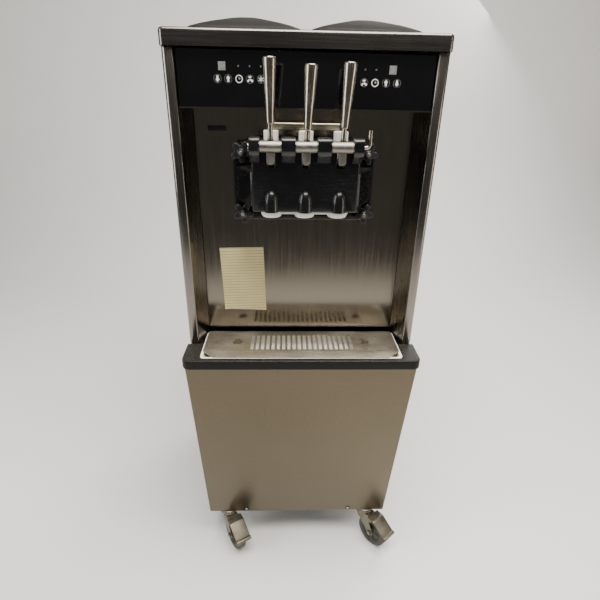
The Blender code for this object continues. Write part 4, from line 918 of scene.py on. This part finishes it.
# ---------------------------------------------------------------- draw levers and their pin
# Polished stainless: a tapered, turned grip with a flared rim and a dished end is screwed on a
# thin rod, on a cross hub with a square arm and a toe that lifts the valve. One long pin with an
# upturned handle runs through lugs and hubs, with a thin washer at each side of a hub.
cast_stainless = finish("cast_stainless", ("#76736c", "#908d86"), (0.36, 0.50), 1.0,
                        (1.5, 1.5, 1.5), 12, 0.03)
GRIP, WASHER_HALF, WASHER_GAP = 0.1085, 0.00015, 0.00025
for place, name, lean in ((-1, "left", 0.0), (0, "centre", 2.3), (1, "right", 2.6)):
    x = place * PITCH
    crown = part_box(name + "_lever")[1].z - pivot.z
    length = crown if not lean else crown - 0.0002
    foot = length - GRIP
    grip = eased([(0.0, foot - 0.0005), (0.0066, foot - 0.0005), (0.0074, foot + 0.0015),
                  (0.0077, foot + 0.0120), (0.0112, length - 0.024), (0.0122, length - 0.0060),
                  (0.0123, length - 0.0020), (0.0113, length), (0.0100, length - 0.0003),
                  (0.0085, length - 0.0030), (0.0, length - 0.0042)], 0.0030, 6, closed=False)
    rod = [(0.0, 0.004), (0.0048, 0.004), (0.0048, foot + 0.001), (0.0, foot + 0.001)]
    nut = [(0.0, 0.0095), (0.0062, 0.0095), (0.0062, 0.0125), (0.0, 0.0125)]
    tilt = Matrix.Translation((x, pivot.y, pivot.z)) @ Matrix.Rotation(radians(lean), 4, "Y")
    upright = [moved(turned(part, "Z", (0.0, 0.0), sides), tilt)
               for part, sides in ((grip, 64), (rod, 32), (nut, 6))]
    hub = turned(eased([(0.0046, x - HUB_HALF), (0.0102, x - HUB_HALF),
                        (0.0108, x - HUB_HALF + 0.0008), (0.0108, x + HUB_HALF - 0.0008),
                        (0.0102, x + HUB_HALF), (0.0046, x + HUB_HALF)], 0.0005, 2), "X",
                 (pivot.y, pivot.z), 48, loop=True)
    arm = block((x - 0.0072, pivot.y - 0.0060, pivot.z - 0.0300),
                (x + 0.0072, pivot.y + 0.0058, pivot.z - 0.0060), 0.0008)
    toe = block((x - 0.0049, pivot.y + 0.0010, pivot.z - 0.0334),
                (x + 0.0049, pivot.y + 0.0339, pivot.z - 0.0262), 0.0008)
    made(name + "_grip", upright, polished, name + "_lever", "polished_steel", name + "_lever",
         crease=40)
    made(name + "_hub", [hub, arm, toe], cast_stainless, name + "_lever", "polished_steel",
         name + "_lever", crease=40)
washers = []
for place in (-1, 0, 1):
    for side in (-1, 1):
        x = place * PITCH + side * (HUB_HALF + WASHER_GAP)
        x0, x1 = x - WASHER_HALF, x + WASHER_HALF
        washers.append(turned([(0.0046, x0), (0.0112, x0), (0.0112, x1), (0.0046, x1)], "X",
                              (pivot.y, pivot.z), 40, loop=True))
made("hub_washers", washers, polished, "head", "polished_steel")


def bar_along(path, radius, sides=24):
    """A round bar along a plane path of constant y: rings square to the path, flat ends."""
    path = np.asarray(path, float)
    along = np.gradient(path, axis=0)
    along /= np.linalg.norm(along, axis=1, keepdims=True)
    angles = tau * np.arange(sides) / sides
    out = np.stack([-along[:, 2], np.zeros(len(path)), along[:, 0]], 1)
    rings = path[:, None] + radius * (np.cos(angles)[None, :, None] * out[:, None]
                                      + np.sin(angles)[None, :, None] * np.array([0.0, 1.0, 0.0]))
    return skin(rings)


low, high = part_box("pivot_pin")
PIN = 0.0038
tail = high.x - PIN
route = eased([(low.x, pivot.y, pivot.z), (tail, pivot.y, pivot.z), (tail, pivot.y, high.z)],
              0.008, 10, closed=False)
collar = turned(eased([(0.0036, -0.1108), (0.0062, -0.1108), (0.0062, -0.1092), (0.0036, -0.1092)],
                      0.0004, 2), "X", (pivot.y, pivot.z), 32, loop=True)
made("bent_pin", [bar_along(route, PIN)], polished, "pivot_pin", "polished_steel", "pivot_pin")
made("pin_collar", [collar], polished, "pivot_pin", "polished_steel")

# ---------------------------------------------------------------- star knobs
# Five-lobed nuts moulded in black nylon round a steel bush, with the stud's rounded end in it.
# They clamp the head to the barrels' studs. Each star is a circle whose radius swells five times.
knob_nylon = finish("black_knob_nylon", ("#141415", "#1e1e1f"), (0.30, 0.42), 0.0, (1.5, 1.5, 1.5),
                    15, 0.03)
STAR_RADIUS, LOBE, LOBES, LOBE_ROUNDING, TURN = 0.0190, 0.0048, 5, 0.0008, 0.9
for level in ("upper", "lower"):
    for name in ("left", "right"):
        low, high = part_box(f"{level}_{name}_knob")
        spin = joints[f"{level}_{name}_knob_turn"]["pos_m"]
        angles = tau * np.arange(80) / 80
        radius = (STAR_RADIUS + LOBE * np.cos(LOBES * angles + TURN)
                  - LOBE_ROUNDING * np.cos(2 * (LOBES * angles + TURN)))
        line = np.stack([spin[0] + radius * np.cos(angles), spin[2] + radius * np.sin(angles)], 1)
        star = extruded(line, "Y", high.y - 0.0200, high.y - 0.0050, 0.0026, 5)
        boss = turned(eased([(0.0, low.y + 0.0005), (0.0072, low.y + 0.0005),
                             (0.0105, low.y + 0.0080), (0.0108, high.y), (0.0, high.y)], 0.002, 4,
                            closed=False), "Y", (spin[0], spin[2]), 40)
        made(f"{level}_{name}_star", [star, boss], knob_nylon, f"{level}_{name}_knob",
             "black_acetal", f"{level}_{name}_knob", crease=40)
        bush = turned(eased([(0.0, low.y - 0.0010), (0.0026, low.y - 0.0007),
                             (0.0032, low.y + 0.0004), (0.0044, low.y + 0.0002),
                             (0.0044, low.y + 0.0030), (0.0, low.y + 0.0030)], 0.0006, 3,
                            closed=False), "Y", (spin[0], spin[2]), 32)
        made(f"{level}_{name}_bush", [bush], cast_stainless, f"{level}_{name}_knob",
             "polished_steel")

# ---------------------------------------------------------------- stop bar
# Cap folded from 2 mm stainless strip on the splash panel: a top with a front flange and a short
# rear one. It stops the levers, and its grain runs across.
bar_steel = finish("satin_stainless_angle", ("#a49a86", "#bfb5a0"), (0.24, 0.38), 1.0,
                   (60, 60, 1.2), 60, 0.004)
low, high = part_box("stop_bar")
fold = sheet([(high.y, low.z + 0.0045), (high.y, high.z), (low.y, high.z), (low.y, low.z)],
             0.0020, 0.0032, 5)
made("lever_stop", [extruded(fold, "X", low.x, high.x, 0.0004, 2)], bar_steel, "cabinet",
     "stainless", "stop_bar")

# ---------------------------------------------------------------- inside
# What the covers hide, in its own materials: welded galvanised frame, foamed steel barrels,
# ground stainless beaters, cast iron gearboxes and pulleys, enamelled motor and compressor,
# rubber belt, rolled aluminium condenser and fan, and a lacquered circuit board.
galvanised = finish("galvanised_frame", ("#6a6c6c", "#8b8d8c"), (0.45, 0.6), 0.8, (14, 14, 14), 40,
                    0.02)
barrel_steel = finish("welded_barrel_steel", ("#8f8b84", "#a7a39b"), (0.3, 0.45), 1.0,
                      (1.5, 60, 60), 80, 0.006)
ground_steel = finish("ground_beater_steel", ("#b0aca2", "#c8c4ba"), (0.16, 0.28), 1.0,
                      (1.5, 1.5, 12), 30, 0.003)
cast_iron = finish("painted_cast_iron", ("#2b2f31", "#3d4244"), (0.5, 0.7), 0.2, (2, 2, 2), 30,
                   0.08)
enamel = finish("black_enamel", ("#14171b", "#20242a"), (0.3, 0.45), 0.0, (4, 4, 4), 60, 0.02)
belt_rubber = finish("belt_rubber", ("#151514", "#232321"), (0.7, 0.9), 0.0, (1, 3, 1), 10, 0.05)
rolled_aluminium = finish("rolled_aluminium", ("#a3a5a6", "#c2c4c4"), (0.3, 0.45), 1.0,
                          (30, 30, 1.2), 40, 0.02)
lacquered_board = finish("lacquered_board", ("#0c3a20", "#14502c"), (0.3, 0.5), 0.0, (2, 2, 2), 18,
                         0.02)
for material, nodes in ((galvanised, ("main_frame",)), (barrel_steel, ("freezing_barrels",)),
                        (ground_steel, ("left_beater", "right_beater")),
                        (cast_iron, ("left_gearbox", "right_gearbox", "left_gearbox_pulley",
                                     "right_gearbox_pulley", "motor_pulley")),
                        (enamel, ("drive_motor", "compressor")), (belt_rubber, ("drive_belt",)),
                        (rolled_aluminium, ("condenser", "condenser_fan")),
                        (lacquered_board, ("control_board",)),):
    dressed(material, *nodes)
